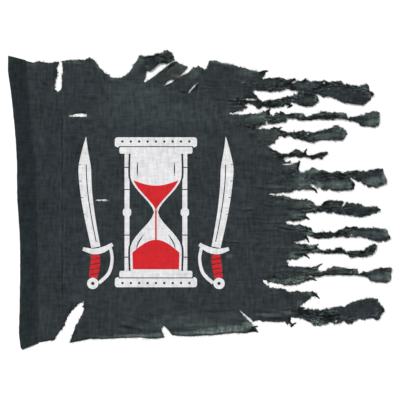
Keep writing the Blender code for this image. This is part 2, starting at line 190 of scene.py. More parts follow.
# %% Tables of the holes and of the curled ends
# The slot under the first tab, all round: x, y
TAB_SLOT = (
    (-95, 338.5), (-80, 351), (-68, 359.3), (-57, 365), (-58, 368.5), (-68, 363), (-80, 356.5),
    (-90, 357), (-101, 357.5), (-112, 346.5), (-124, 337), (-129, 336), (-134, 338), (-136, 330), (-137, 321),
    (-142, 312), (-140, 307), (-133, 311), (-115, 323),
)

# Tears and holes inside the cloth, one section a row: x, y, width there
OPENINGS = {
    "slit_in_the_second_tab": ((-53, 321, 2), (-38, 330, 5), (-30, 335, 9), (-22, 344, 12),
                               (-14, 356, 14)),
    "hole_in_the_second_tab": ((-88, 299, 2), (-80, 305, 7), (-70, 311, 8), (-59, 315, 2)),
    "slit_below_the_third_tab": ((-26, 279, 2), (-20, 286, 3.8), (-12, 295, 4.6), (-1, 306, 2)),
    "hole_by_the_hoist": ((-339, 219, 2), (-330, 220, 6), (-318, 221, 8), (-306, 221.5, 9),
                          (-292, 221.5, 7)),
    "hole_by_the_print": ((-270, -2, 2), (-261, -2, 5), (-244, -2, 5), (-235, -2, 2)),
    "slit_above_tatter_2": ((116, 262.5, 2.2), (130, 263, 4.6), (144, 262.5, 5.4), (154, 262, 3.2)),
    "slit_above_tatter_6": ((222, 92, 2), (232, 92.5, 4.5), (240, 93, 5), (251, 94, 3)),
    "notch_in_tatter_6": ((295, 41, 3), (301, 37, 7), (312, 29, 7)),
    "cut_in_tatter_6": ((401, 57, 2), (407, 52, 6), (418, 42, 9)),
    "cut_in_tatter_7": ((379, -19.5, 4), (384, -12, 5.5), (388, -6, 5.5), (391, -2, 4.5)),
    "hole_in_tatter_10": ((288, -199, 2), (295, -202, 5), (304, -204, 2)),
    "gap_in_tatter_1": ((246, 305, 2.5), (253, 309, 6.2), (260, 312, 3)),
    "notch_in_tatter_3": ((182, 193, 5), (181, 200, 5), (180, 206, 3)),
}

# Small round holes worn through the tatters: x, y, radius
PINHOLES = ((332, 306.5, 3.2), (289, 173, 3.0), (404, -93, 2.4), (363, -319.5, 3.2))

# Curled ends of torn thread bundles: x, y at the root, x, y at the tip, width at the root
NUBS = (
    (277, 308, 285, 318, 5), (281, 121, 287, 133, 4.5), (264.5, 90, 268.5, 99.5, 4.5), (238, 96, 245, 102, 3),
    (306, 27, 313, 17, 5), (284, -48, 294, -53, 5), (283, -98, 292, -113, 5), (256, -145, 282, -146, 3.5),
    (276, -144, 294, -155, 4.5), (309, -128, 317, -116.5, 4), (314, -178, 328, -169, 3.5),
    (294, -208.5, 312, -213.5, 4), (302, -246, 320, -261, 5), (268, -287, 281, -285, 5),
    (138, -345, 159, -349, 4.5), (144, -338, 158, -333, 4), (241, -312, 240, -325, 5),
    (240, -323, 250, -333, 5), (248, -332, 259, -324, 4), (166, 332, 184, 338, 6),
    (184, 226, 190, 238, 5), (244, 246, 235, 241, 4), (214, 186, 222, 190, 3),
    (232, 60, 236, 56, 3), (396, 299, 391, 305, 3),
)
print(len(OPENINGS), "openings,", len(PINHOLES), "pinholes,", len(NUBS), "curled ends")

# %% Where the tables lie in the frame
sleeve_low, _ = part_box("pole_sleeve")
CAD_CORNER = (-498.5, -393.0)   # x of the fold at the top mouth, y of the lowest point, in the tables
SHIFT = (sleeve_low[0] / MM - CAD_CORNER[0], sleeve_low[1] / MM - CAD_CORNER[1])
print("tables move by", [round(value, 3) for value in SHIFT], "mm to the frame")

# %% [markdown]
# ## Outlines from the tables
# Torn gauze never has a straight edge: it wanders a little and lets go of a small tuft of threads now
# and then. Each outline is walked in short steps, and every point gets a small push from a seeded
# random generator, so that the same flag comes out on each run.

# %% Walk along an edge and tear it
EDGE_STEP = 2.3          # a point this often along a torn edge
WANDER = 0.60            # how far each point of a torn edge is off its line
WAVER = 2.6              # how far the edge wavers in and out
TUFT_SHARE = 0.15        # how many edge points stand out as a tuft
TUFT_LENGTH = 3.2        # how far the longest tuft stands out
SELVEDGE = -341.0        # below this line the edge is the woven one, which does not tear
WOVEN_WAVER = 0.3        # share of the waver that the woven edge keeps


def bump(x, y, size_x, size_y, layer):
    """A seeded unevenness from -1 to 1 whose bumps have that size along x and y."""
    return noise.noise(Vector((x / size_x, y / size_y, layer)))


def eased(rows, column, at):
    """A column's value at each place along the first column, eased between the rows."""
    table, at = np.array(rows, float), np.asarray(at, float)
    k = np.clip(np.searchsorted(table[:, 0], at) - 1, 0, len(table) - 2)
    share = np.clip((at - table[k, 0]) / (table[k + 1, 0] - table[k, 0]), 0, 1)
    return table[k, column] + (table[k + 1, column] - table[k, column]) * share * share * (3 - 2 * share)


def walk(corners, step):
    """Points every step or so along straight runs between the corners, corners kept."""
    points = []
    for start, end in zip(corners, corners[1:]):
        a, b = Vector(start), Vector(end)
        count = max(1, round((b - a).length / step))
        points += [a.lerp(b, k / count) for k in range(count)]
    return points + [Vector(corners[-1])]


# Where an edge is smoother: in the narrow slit and on two spread tatters: x, y, reach, share of waver
EVEN_EDGES = ((124, -304, 26, 0.25), (362, -190, 42, 0.45), (420, 266, 34, 0.6))


def raggedness(point):
    """How freely an edge wavers: little along the woven edge and at the even places."""
    if point.y < SELVEDGE:
        return WOVEN_WAVER
    return min([share for x, y, reach, share in EVEN_EDGES if (point - Vector((x, y))).length < reach] + [1])


def torn(points, rng, amount, outward=1):
    """The points as a torn edge has them. The cloth is on the left, or on the right for outward -1."""
    edge, run, layer = [], 0.0, rng.uniform(0, 90)
    for before, point, after in zip(points[:1] + points, points, points[1:] + points[-1:]):
        run += (point - before).length
        along = after - before
        side = Vector((along.y, -along.x)).normalized() * outward if along.length else Vector((0, 0))
        out = WAVER * bump(run, layer, 11, 1, 0)
        out += 0.8 * WAVER * bump(run, layer, 4.6, 1, 5)
        push = Vector((rng.uniform(-amount, amount), rng.uniform(-amount, amount)))
        if rng.random() < TUFT_SHARE:
            out += rng.uniform(0.35, 1.0) * TUFT_LENGTH
        edge.append(point + (side * out * min(1, amount / WANDER) + push) * raggedness(point))
    return edge


print("tufts up to", TUFT_LENGTH, "mm on one edge point in", round(1 / TUFT_SHARE))

# %% Outlines of the body, the tatters and the holes
BODY_STEP = 6.6          # mesh size of the flat cloth
NUB_ROOT = 5.0           # how far the root of a curled end reaches into the cloth
UNDERLAP = 9.0           # how far the single cloth runs on under the sleeve's foot
SLEEVE_FOOT = walk([(x - UNDERLAP, y) for _, _, y, x in SLEEVE], BODY_STEP)


def body_outline(rng):
    """The whole cloth without its tatters, anticlockwise from the foot of the sleeve."""
    edge = walk(TOP_EDGE + FLY_EDGE + BOTTOM_EDGE, EDGE_STEP)
    return SLEEVE_FOOT + torn(edge[::-1], rng, WANDER)


def tatter_outline(rows, rng):
    """One tatter as a closed outline, out along its lower edge and back along its upper edge."""
    start, end = rows[0][0], rows[-1][0]
    places = np.linspace(start, end, round((end - start) / EDGE_STEP) + 1)
    low = [Vector(p) for p in zip(places, eased(rows, 1, places))]
    high = [Vector(p) for p in zip(places, eased(rows, 2, places))]
    return torn(low + walk([low[-1], high[-1]], EDGE_STEP)[1:-1] + high[::-1], rng, WANDER)


def opening_outline(rows, rng):
    """A slit or hole that follows its rows, as wide at each as the row says."""
    left, right = [], []
    for k, (x, y, width) in enumerate(rows):
        before, after = rows[max(k - 1, 0)], rows[min(k + 1, len(rows) - 1)]
        along = Vector((after[0] - before[0], after[1] - before[1])).normalized()
        across = Vector((-along.y, along.x)) * width / 2
        left.append(Vector((x, y)) + across)
        right.append(Vector((x, y)) - across)
    widest = max(range(len(rows)), key=lambda k: rows[k][2])
    loop = right[widest:] + left[::-1] + right[:widest]
    return torn(walk(loop + loop[:1], EDGE_STEP)[:-1], rng, 0.35 * WANDER, -1)


def circle(x, y, radius, count=10):
    """A round outline, anticlockwise."""
    turns = [2 * math.pi * k / count for k in range(count)]
    return [Vector((x + radius * math.cos(t), y + radius * math.sin(t))) for t in turns]


def nub_outline(x0, y0, x1, y1, width):
    """A curled end of thread: a thin bent spike from its root to its tip."""
    tip = Vector((x1, y1))
    root = Vector((x0, y0)) - (tip - Vector((x0, y0))).normalized() * NUB_ROOT
    across = Vector((y0 - y1, x1 - x0)).normalized()
    middle = root.lerp(tip, 0.6) + across * 0.06 * (tip - root).length
    return [root - across * 0.8 * width, middle - across * 0.52 * width, tip - across * 0.3 * width,
            tip + across * 0.3 * width, middle + across * 0.52 * width, root + across * 0.8 * width]


rng = random.Random(11)
CLOTH = [body_outline(rng)] + [tatter_outline(rows, rng) for rows in TATTERS.values()]
CLOTH += [nub_outline(*row) for row in NUBS]
HOLES = [opening_outline(rows, rng) for rows in OPENINGS.values()] + [circle(*row) for row in PINHOLES]
HOLES.append(torn(walk(TAB_SLOT + TAB_SLOT[:1], EDGE_STEP)[:-1], rng, 0.3 * WANDER, -1))
print("outline points", sum(len(outline) for outline in CLOTH + HOLES))

# %% [markdown]
# ## The print
# The flag is printed on one side with opaque white and a clear red, about 410 mm wide and 400 mm tall.
# The print here is a plain one made for this part: an hourglass with red sand that stands between two
# upright cutlasses. It is drawn like a paper cut, one shape over the other, from a few functions for
# bars, bulbs and blades. Each shape has an ink, and "none" cuts a bare line into what lies below it.

# %% Shapes to draw with
PRINT_MIDDLE = (-110.0, -34.0)
LINE = 2.6               # width of a bare line cut into the white
PRINT_STEP = 3.0         # a point this often along the edge of the ink
PRINT = []               # (ink, outline), from the bottom layer to the top one


def ink(colour, corners):
    """Adds a closed shape to the print, its corners measured from the middle of the print."""
    x, y = PRINT_MIDDLE
    loop = walk(list(corners) + list(corners[:1]), PRINT_STEP)[:-1]
    PRINT.append((colour, [point + Vector((x, y)) for point in loop]))


def bar(x, y, half_width, half_height, rounding):
    """A rounded rectangle."""
    corners = []
    for quarter, (sx, sy) in enumerate(((1, 1), (-1, 1), (-1, -1), (1, -1))):
        for k in range(5):
            t = math.pi / 2 * (quarter + k / 4)
            corners.append((x + sx * (half_width - rounding) + rounding * math.cos(t),
                            y + sy * (half_height - rounding) + rounding * math.sin(t)))
    return corners


def ribbon(line, widths):
    """A band along a line of points, as wide at each as widths says."""
    left, right = [], []
    for k, (x, y) in enumerate(line):
        (bx, by), (ax, ay) = line[max(k - 1, 0)], line[min(k + 1, len(line) - 1)]
        size = math.hypot(ax - bx, ay - by) or 1
        nx, ny = (by - ay) / size * widths[k] / 2, (ax - bx) / size * widths[k] / 2
        left.append((x + nx, y + ny))
        right.append((x - nx, y - ny))
    return right + left[::-1]


def curved(rows):
    """A smooth line through rows of x, y and width, as the points and widths of a ribbon."""
    rows = [Vector(row) for row in rows]
    line = []
    for k in range(len(rows) - 1):
        a, b, c, d = rows[max(k - 1, 0)], rows[k], rows[k + 1], rows[min(k + 2, len(rows) - 1)]
        for t in (0, 0.2, 0.4, 0.6, 0.8):
            line.append((2 * b + (c - a) * t + (2 * a - 5 * b + 4 * c - d) * t * t
                         + (3 * b - a - 3 * c + d) * t ** 3) / 2)
    line.append(rows[-1])
    return [(point.x, point.y) for point in line], [point.z for point in line]


print("lines cut into the white are", LINE, "mm wide")

# %% Draw the hourglass
POST = 76                # how far each post stands from the middle
NECK_TO_END = 150        # from the neck of the glass to where its bulb ends


def bulb_half(height):
    """Half width of the glass at a height above or below its neck."""
    share = min(abs(height) / NECK_TO_END, 1)
    return 5 + 63 * math.sin(math.pi / 2 * min(share * 1.5, 1)) ** 1.6 - 9 * max(0, share - 0.6) ** 2


def glass(low, high, inset, surface=None):
    """The part of the glass between two heights, with an optional heaped or hollowed surface."""
    heights = [low + (high - low) * k / 24 for k in range(25)]
    right = [(max(bulb_half(h) - inset, 1.2), h) for h in heights]
    left = [(-x, h) for x, h in right[::-1]]
    if surface is None:
        return right + left
    reach = right[-1][0]
    top = [(reach * (1 - 2 * k / 12), high + surface * math.sin(math.pi * k / 12)) for k in range(1, 12)]
    return right + top + left


def hourglass():
    """Two plates, two posts and the glass with its red sand."""
    for side in (-1, 1):
        ink("white", bar(POST * side, 0, 6.5, 166, 3))
        ink("white", bar(POST * side, 0, 11, 11, 8))
        for level in (-118, -60, 60, 118):
            ink("none", bar(POST * side, level, 6.5, LINE / 2, 0.5))
    ink("none", glass(-158, 158, -5))
    ink("white", glass(-156, 156, 0))
    ink("red", glass(6, 84, 6, -14))
    ink("red", glass(-150, -106, 6, 34))
    ink("red", bar(0, -40, 2.2, 46, 2))
    for side in (-1, 1):
        shine = [(side * (bulb_half(h) - 19), h) for h in range(96, 136, 6)]
        ink("none", ribbon(shine, [0.8 + LINE * math.sin(math.pi * k / 6) for k in range(7)]))
        shine = [(side * (bulb_half(h) - 17), h) for h in range(-98, -50, 8)]
        ink("none", ribbon(shine, [0.8 + LINE * math.sin(math.pi * k / 5) for k in range(6)]))
    for level in (-1, 1):
        ink("white", bar(0, 163 * level, 96, 9, 5))
        ink("white", bar(0, 184 * level, 108, 13, 7))
        ink("none", bar(0, 172.5 * level, 98, LINE / 2, 0.5))
        for k in range(-4, 5):
            ink("none", bar(22 * k, 186 * level, 3.2, 3.2, 3))


hourglass()
print(len(PRINT), "shapes in the hourglass")

# %% Draw the cutlasses
CUTLASS = 158            # how far each blade stands from the middle


def cutlass(side):
    """A curved blade that points up, a bowl guard, a red grip and a round pommel."""
    x0 = CUTLASS * side
    rise = [k / 20 for k in range(21)]
    spine = [(x0 + side * (34 * math.sin(math.pi * 0.62 * t) - 6 * t), -92 + 290 * t) for t in rise]
    ink("white", ribbon(spine, [24 + 14 * t if t < 0.72 else 34 * (1 - t) / 0.28 + 0.8 for t in rise]))
    ink("none", ribbon([(x - side * 4, y) for x, y in spine[1:16]], [LINE] * 15))
    for k, t in enumerate(rise[6:18:3]):
        x, y = spine[6 + 3 * k]
        ink("none", bar(x + side * 13, y, 3.5, 0.9, 0.4))
    ink("white", ribbon(*curved([(x0 - side * 44, -84, 9), (x0 - side * 20, -98, 15),
                                 (x0 + side * 6, -103, 15), (x0 + side * 34, -96, 9)])))
    ink("red", ribbon(*curved([(x0, -112, 22), (x0 + side * 2, -140, 26), (x0 + side * 7, -172, 22)])))
    for level in (-122, -135, -148, -161):
        ink("none", ribbon([(x0 - 14, level - 3), (x0 + 20, level + 3)], [LINE, LINE]))
    ink("white", ribbon(*curved([(x0 - side * 38, -92, 8), (x0 - side * 43, -124, 8),
                                 (x0 - side * 34, -160, 9), (x0 - side * 8, -186, 9)])))
    ink("white", [(x, y) for x, y in circle(x0 + side * 8, -187, 15, 20)])
    ink("none", [(x, y) for x, y in circle(x0 + side * 8, -187, 4.5, 12)])


for side in (-1, 1):
    cutlass(side)
print(len(PRINT), "shapes in the print")

# %% [markdown]
# ## The flat cloth
# A flat sheet with thousands of points along its edges is best meshed by a triangulation that keeps
# those edges: here the constrained Delaunay one. It also says which outlines each triangle lies in,
# so the tatters join the body, the holes drop out and the ink is known, with no boolean. Points inside
# are spread evenly, closer together where the cloth is folded.

# %% Table of the creases
# Thin sharp creases, pressed in between two low lips: x, y of both ends, half width, depth of shade
CREASES = (
    (-357, 278, -356, -317, 1.5, 0.62), (-369, 264, -369, 222, 1.3, 0.35),
    (-350, 262, -350, 214, 1.3, 0.35), (-340, 205, -341, 110, 1.3, 0.3), (-345, 268, -262, 267, 1.8, 0.28),
    (-416, 314, -394, 299, 2, 0.45), (-212, -329, -140, -347, 3.2, 0.75), (-46, -304, -14, -296, 1.6, 0.4),
    (-180, -306, -128, -322, 1.8, 0.35), (-144, 371, -98, 378, 3, 1), (-14, 284, 8, 307, 1.8, 0.8),
    (-102, 378, -78, 368, 2.6, 1), (-86, 338, -55, 359, 1.8, 1), (-100, 362, -74, 360, 1.5, 0.9),
    (-86, 296, -56, 312, 1.5, 0.85), (-22, 279, 2, 302, 1.5, 0.9), (-141, 342, -126, 343, 1.8, 0.85),
    (-98, 304, -80, 316, 1.5, 0.45), (-52, 284, -26, 277, 2, 0.8), (20, 300, 60, 298, 1.6, 0.4),
    (10, 292, 48, 290, 1.4, 0.35), (45, 262, 112, 257, 2.6, 0.6), (62, 252, 118, 249, 1.8, 0.55),
    (70, 270, 116, 264, 1.5, 0.45), (84, 236, 126, 243, 1.5, 0.4), (102, 258, 172, 257, 2.6, 0.95),
    (60, 198, 118, 204, 1.5, 0.35), (52, -113, 112, -114, 1.6, 0.75), (58, -121, 100, -122, 1.4, 0.35),
    (111, -32, 149, -27, 1.8, 0.75), (132, -46, 206, -57, 1.6, 0.45), (72, -10, 118, -2, 1.4, 0.35),
    (60, -38, 104, -36, 1.4, 0.35), (174, -15, 196, -18, 1.6, 0.55), (150, -3, 206, -10, 1.5, 0.35),
    (194, -70, 300, -88, 2.2, 0.85), (160, -61, 222, -64, 1.5, 0.4), (140, -92, 236, -96, 1.5, 0.35),
    (150, 29, 270, 25, 1.7, 0.55), (178, 44, 246, 33, 1.5, 0.4), (166, 66, 250, 64, 1.4, 0.3),
    (238, -25, 322, -26, 2.2, 0.85), (55, -251, 74, -253, 1.8, 0.65), (5, -294, 108, -292, 2, 0.4),
    (30, -270, 100, -276, 1.6, 0.35), (92, -214, 160, -208, 1.6, 0.35), (153, -309, 232, -314, 2.4, 0.65),
    (100, -318, 150, -322, 1.8, 0.45), (-40, -338, 60, -332, 1.6, 0.4), (180, -252, 240, -248, 1.6, 0.4),
    (202, -190, 318, -194, 1.6, 0.5), (170, -130, 262, -128, 1.6, 0.35), (180, -146, 246, -142, 1.5, 0.35),
)
CREASE_WANDER = 1.1      # how far a crease strays from its straight line
CREASE_WAVE = 15         # length of its waves, divided by 2 pi
CREASE_STEP = 3.2        # a mesh point this often along a crease
LIP = 2.6                # where its two lips are, in half widths from its middle


def crease_phase(run, k):
    """Where in its slight waves crease k is after a run along it."""
    return run / CREASE_WAVE + 2.3 * k


print(len(CREASES), "creases")

# %% Spread points and triangulate
FOLDED_STEP = 3.5        # mesh size where wrinkles run into the tatters
TATTER_STEP = 2.2        # mesh size on the tatters
TAB_STEP = 3.0           # mesh size on the tabs at the top and along the bottom edge
ROW_STEP = 0.866         # from row to row of evenly spread points, in steps
ASTRAY = 0.15            # how far each one is off its place, in steps
CLEAR = 1.6              # a point on a crease stays this far from every edge
CREASE_CELL = 1.8        # and only one lies in each square of this size
# x and y from, x and y to, spacing of the points there
SPREAD = (
    (-470, -395, -260, 395, BODY_STEP), (-260, -325, -165, 395, BODY_STEP),
    (-165, -325, 70, 276, BODY_STEP), (-165, 276, 70, 395, TAB_STEP), (-260, -395, 70, -325, TAB_STEP),
    (70, -395, 285, 395, FOLDED_STEP), (285, -395, 512, 395, TATTER_STEP),
)


def search_tree(points):
    """The flat points ready to be asked which of them is nearest."""
    tree = KDTree(len(points))
    for k, point in enumerate(points):
        tree.insert((point[0], point[1], 0), k)
    tree.balance()
    return tree


def crease_points(edges):
    """Points on the middle and on the two lips of each crease, clear of the edges and of each other."""
    tree, taken, points = search_tree(edges), set(), []
    for k, (x0, y0, x1, y1, half, _) in enumerate(CREASES):
        dx, dy = x1 - x0, y1 - y0
        length = math.hypot(dx, dy)
        for run in np.arange(0, length, CREASE_STEP):
            for side in (-LIP * half, 0, LIP * half):
                off = side - CREASE_WANDER * math.sin(crease_phase(run, k))
                x, y = x0 + (run * dx - off * dy) / length, y0 + (run * dy + off * dx) / length
                cell = (round(x / CREASE_CELL), round(y / CREASE_CELL))
                if cell not in taken and tree.find((x, y, 0))[2] > CLEAR:
                    taken.add(cell)
                    points.append(Vector((x, y)))
    return points


def inner_points(edges):
    """Evenly spread points that stay clear of every edge."""
    tree = search_tree(edges)
    spread_rng = random.Random(5)
    points = []
    for left, bottom, right, top, step in SPREAD:
        for row in range(int((top - bottom) / (ROW_STEP * step)) + 1):
            for column in range(int((right - left) / step) + 1):
                x = left + (column + 0.5 * (row % 2)) * step + spread_rng.uniform(-ASTRAY, ASTRAY) * step
                y = bottom + row * ROW_STEP * step + spread_rng.uniform(-ASTRAY, ASTRAY) * step
                near = tree.find((x, y, 0))[2]
                if x < right and y < top and 0.55 * step < near < 60:
                    points.append(Vector((x, y)))
    return points


def flat_cloth():
    """Points, triangles and the ink of each triangle of the flat cloth."""
    outlines = CLOTH + HOLES + [outline for _, outline in PRINT]
    points, faces = [], []
    for outline in outlines:
        faces.append(list(range(len(points), len(points) + len(outline))))
        points += outline
    points += crease_points(points)
    points += inner_points(points)
    found = delaunay_2d_cdt(points, [], faces, 0, 0.01, True)
    first_hole, first_print = len(CLOTH), len(CLOTH) + len(HOLES)
    triangles, inks = [], []
    for corners, sources in zip(found[2], found[5]):
        cloth = [k for k in sources if k < first_hole]
        if not cloth or any(first_hole <= k < first_print for k in sources):
            continue
        triangles.append(corners)
        inks.append(PRINT[max(sources) - first_print][0] if max(sources) >= first_print else "none")
    used = sorted({k for corners in triangles for k in corners})
    place = {k: n for n, k in enumerate(used)}
    flat = np.array([tuple(found[0][k]) for k in used])
    return flat, np.array([[place[k] for k in corners] for corners in triangles]), np.array(inks)


flat_xy, triangles, inks = flat_cloth()
# Every triangle is turned anticlockwise, so that its face points up
corner = flat_xy[triangles]
sides = corner[:, 1:] - corner[:, :1]
turn = sides[:, 0, 0] * sides[:, 1, 1] - sides[:, 0, 1] * sides[:, 1, 0]
triangles[turn < 0] = triangles[turn < 0][:, ::-1]

# %% [markdown]
# ## Folds
# The gauze has lain folded, has been dragged by the wind and is torn, so it is never quite flat. The
# main folds are given one row each, as soft ridges. The tatters get lengthwise pleats that
# crowd together where a tatter is bunched. A low, seeded unevenness fills what is left. A cloth
# simulation would smooth the small crumples away, so the folds are made by these rules instead.

# %% Tables of the folds
# x, y of one end, x, y of the other end, half width of the foot, height
FOLDS = (
    (-357, 275, -356, -317, 7, 1.1), (-140, 322, -84, 372, 12, 3), (-150, 372, -80, 384, 8, 2.4),
    (-92, 322, -20, 318, 13, 2.4), (18, 325, 70, 300, 12, 2.2), (100, 330, 160, 318, 11, 2.6),
    (95, 300, 170, 300, 12, 2.4), (60, 250, 150, 232, 11, 2), (95, 205, 185, 214, 9, 2.6),
    (110, 170, 205, 172, 10, 2.6), (130, 120, 225, 112, 9, 2.2), (150, 78, 262, 74, 12, 2.4),
    (170, 48, 300, 58, 12, 2.8), (140, 30, 255, 34, 10, 2), (160, -12, 285, -14, 9, 2.2),
    (175, -36, 285, -34, 7, 2.8), (150, -76, 262, -84, 10, 2.6), (160, -132, 285, -130, 11, 2.2),
    (165, -186, 290, -190, 11, 2.4), (190, -205, 290, -206, 8, 2), (170, -262, 262, -258, 12, 2.2),
    (190, -300, 290, -300, 9, 3), (-190, -345, 40, -330, 12, 1.8), (-140, -290, 90, -262, 13, 1.4),
    (-250, -300, -120, -318, 12, 1.4), (-405, 300, -300, 330, 13, 1.6), (-260, 300, -215, 262, 12, 1.8),
    (-20, 262, 60, 220, 12, 1.6), (60, -18, 150, -30, 6, 1.6), (80, -40, 185, -52, 7, 1.5),
    (60, -104, 130, -116, 6, 1.5), (90, -150, 190, -148, 8, 1.6), (110, -4, 200, -12, 6, 1.5),
    (60, 110, 160, 96, 8, 1.5), (40, 60, 140, 62, 9, 1.4), (120, -228, 180, -240, 7, 1.6),
    (60, -200, 150, -208, 8, 1.4), (150, -288, 240, -292, 7, 2.2), (150, -310, 236, -312, 6, 2.4),
    (-60, -342, 140, -336, 8, 2.2), (20, -318, 130, -300, 9, 1.6), (-330, -250, -230, -300, 12, 1.2),
    (-420, -180, -330, -200, 14, 0.9), (-300, 210, -180, 190, 14, 0.9), (-60, 230, 40, 262, 11, 1.3),
    (-400, 120, -300, 100, 14, 0.9), (20, 190, 120, 186, 9, 1.4),
)
# Parts of the cloth that are crumpled as the tatters are: x, y, half length, half width, turn
RUMPLED = (
    (-100, 372, 66, 26, 12), (-60, 335, 34, 22, 35), (0, 336, 24, 13, 30), (110, 344, 70, 10, -14),
    (150, 308, 50, 16, -8), (118, 258, 50, 14, 4), (150, 210, 46, 16, 4), (176, 168, 36, 24, 0),
    (222, 108, 40, 16, -30), (250, 80, 26, 18, 0), (270, 40, 60, 26, 0), (262, -30, 46, 30, 0),
    (270, -85, 34, 22, 0), (258, -138, 32, 20, 0), (250, -200, 76, 24, 0), (262, -246, 46, 14, -8),
    (255, -296, 46, 16, 0), (110, -340, 62, 14, 4), (10, -350, 70, 7, 0), (-330, 363, 90, 5, 0),
)

# Ends of tatters that lie spread and only finely crumpled: x, y, half length, half width, turn
CALM = (
    (398, 270, 70, 24, -12), (285, 258, 26, 16, 0), (455, 210, 34, 20, 0), (350, 170, 60, 16, 8),
    (350, 38, 60, 16, 0), (460, 56, 44, 22, 0), (440, -30, 50, 18, -8), (452, -92, 60, 18, -4),
    (474, -200, 44, 22, 0), (425, -288, 74, 28, 8), (160, 316, 60, 18, -8), (0, 336, 24, 13, 30),
    (-60, 335, 34, 22, 35), (110, 340, 60, 14, -14), (100, -340, 60, 14, 4), (265, -10, 34, 12, 0),
    (225, 40, 70, 26, 0), (225, -34, 64, 34, 0), (240, -88, 44, 26, 0), (240, -138, 44, 24, 0),
    (236, -246, 60, 16, -4), (215, -300, 60, 16, 0), (140, 212, 46, 16, 0), (178, 167, 42, 24, 0),
    (222, 88, 46, 28, 0), (230, -190, 72, 18, 0), (40, -348, 115, 12, 2), (362, -188, 36, 12, 0),
    (300, 70, 26, 12, 0), (284, 300, 36, 13, 0), (-104, 368, 20, 9, 10), (-124, 360, 26, 12, 15),
)
print(len(FOLDS), "folds")

# %% Shape the folds, the creases and the pleats
CLOTH_THICK = 0.42       # a single layer of gauze
LOWEST = 0.55            # height of the cloth's middle where it lies flat
LEAST = 0.32             # and the least that a crease may leave it
FOLD_BOW = 0.22          # how far a fold strays from its line, in half widths
FOLD_WAVE = 23           # length of its waves, divided by 2 pi
ROLLING = 0.8            # broad unevenness of the laid cloth
CRINKLE = 0.35           # fine unevenness
SPREAD_WIDTH = 40.0      # a tatter narrower than this is bunched
BUNCH = 2.6              # extra height of a tatter that is pinched to nothing
PLEATS = 4               # lengthwise pleats in each tatter
ROOT = 75                # a tatter is fully pleated this far from its root
CURL = 1.1               # how high the long edges of a tatter curl up
TIP_CURL = 1.6           # and the torn end
CRUMPLE = 2.4            # sharp crumples of the tatters


def smooth(value):
    """0 below 0, 1 above 1 and an ease between."""
    value = np.clip(value, 0, 1)
    return value * value * (3 - 2 * value)


def noise_at(x, y, size_x, size_y, layer):
    """The same unevenness at many places."""
    return np.array([bump(a, b, size_x, size_y, layer) for a, b in zip(x, y)])


def beside(x, y, x0, y0, x1, y1):
    """How far along a line, as a share, and how far to its side each place is, and how long it is."""
    dx, dy = x1 - x0, y1 - y0
    length = math.hypot(dx, dy)
    share = ((x - x0) * dx + (y - y0) * dy) / length ** 2
    return share, ((y - y0) * dx - (x - x0) * dy) / length, length


def fold_lift(x, y):
    """How far the folds of the table lift the cloth."""
    lift = np.zeros(len(x))
    for k, (*ends, half, height) in enumerate(FOLDS):
        share, across, length = beside(x, y, *ends)
        across = across + FOLD_BOW * half * np.sin(share * length / FOLD_WAVE + 1.7 * k)
        past = np.maximum(np.maximum(-share, share - 1), 0) * length
        away = np.hypot(across, past) / half
        taper = np.sin(math.pi * (0.12 + 0.76 * np.clip(share, 0, 1)))
        ridge = height * taper * (0.5 + 0.5 * np.cos(math.pi * np.clip(away, 0, 1)))
        lift = np.maximum(lift, ridge) + 0.35 * np.minimum(lift, ridge)
    return lift


def ellipse(x, y, place, edge=1.45, fade=1.2, wobble=0.0):
    """1 inside a turned ellipse and 0 outside it, with a soft rim."""
    px, py, length, width, turn = place
    c, s = math.cos(math.radians(turn)), math.sin(math.radians(turn))
    along, across = (x - px) * c + (y - py) * s, (y - py) * c - (x - px) * s
    return smooth(edge - fade * np.hypot(along / length, across / width) + wobble)


def inside_any(rows, least):
    """1 inside any of the rows' ellipses, and at least the least value elsewhere."""
    for row in rows:
        least = np.maximum(least, ellipse(flat_x, flat_y, row))
    return least


def crease_shape(x, y):
    """How the sharp creases move the cloth up or down, the shade in them and the lips beside them."""
    lift, shade, lip = np.zeros(len(x)), np.zeros(len(x)), np.zeros(len(x))
    for k, (*ends, half, depth) in enumerate(CREASES):
        share, across, length = beside(x, y, *ends)
        across = across + CREASE_WANDER * np.sin(crease_phase(share * length, k))
        fading = smooth(4.5 * np.minimum(share + 0.04, 1.04 - share))
        fading = fading * (0.72 + 0.28 * np.sin(share * length / 9 + k))
        trough = np.exp(-(across / half) ** 2) * fading
        lips = np.exp(-((np.abs(across) - LIP * half) / (1.3 * half)) ** 2) * fading
        lift = lift + depth * (0.9 * lips - 0.6 * trough)
        shade, lip = np.maximum(shade, 1.15 * depth * trough), np.maximum(lip, depth * lips)
    return lift, shade, lip


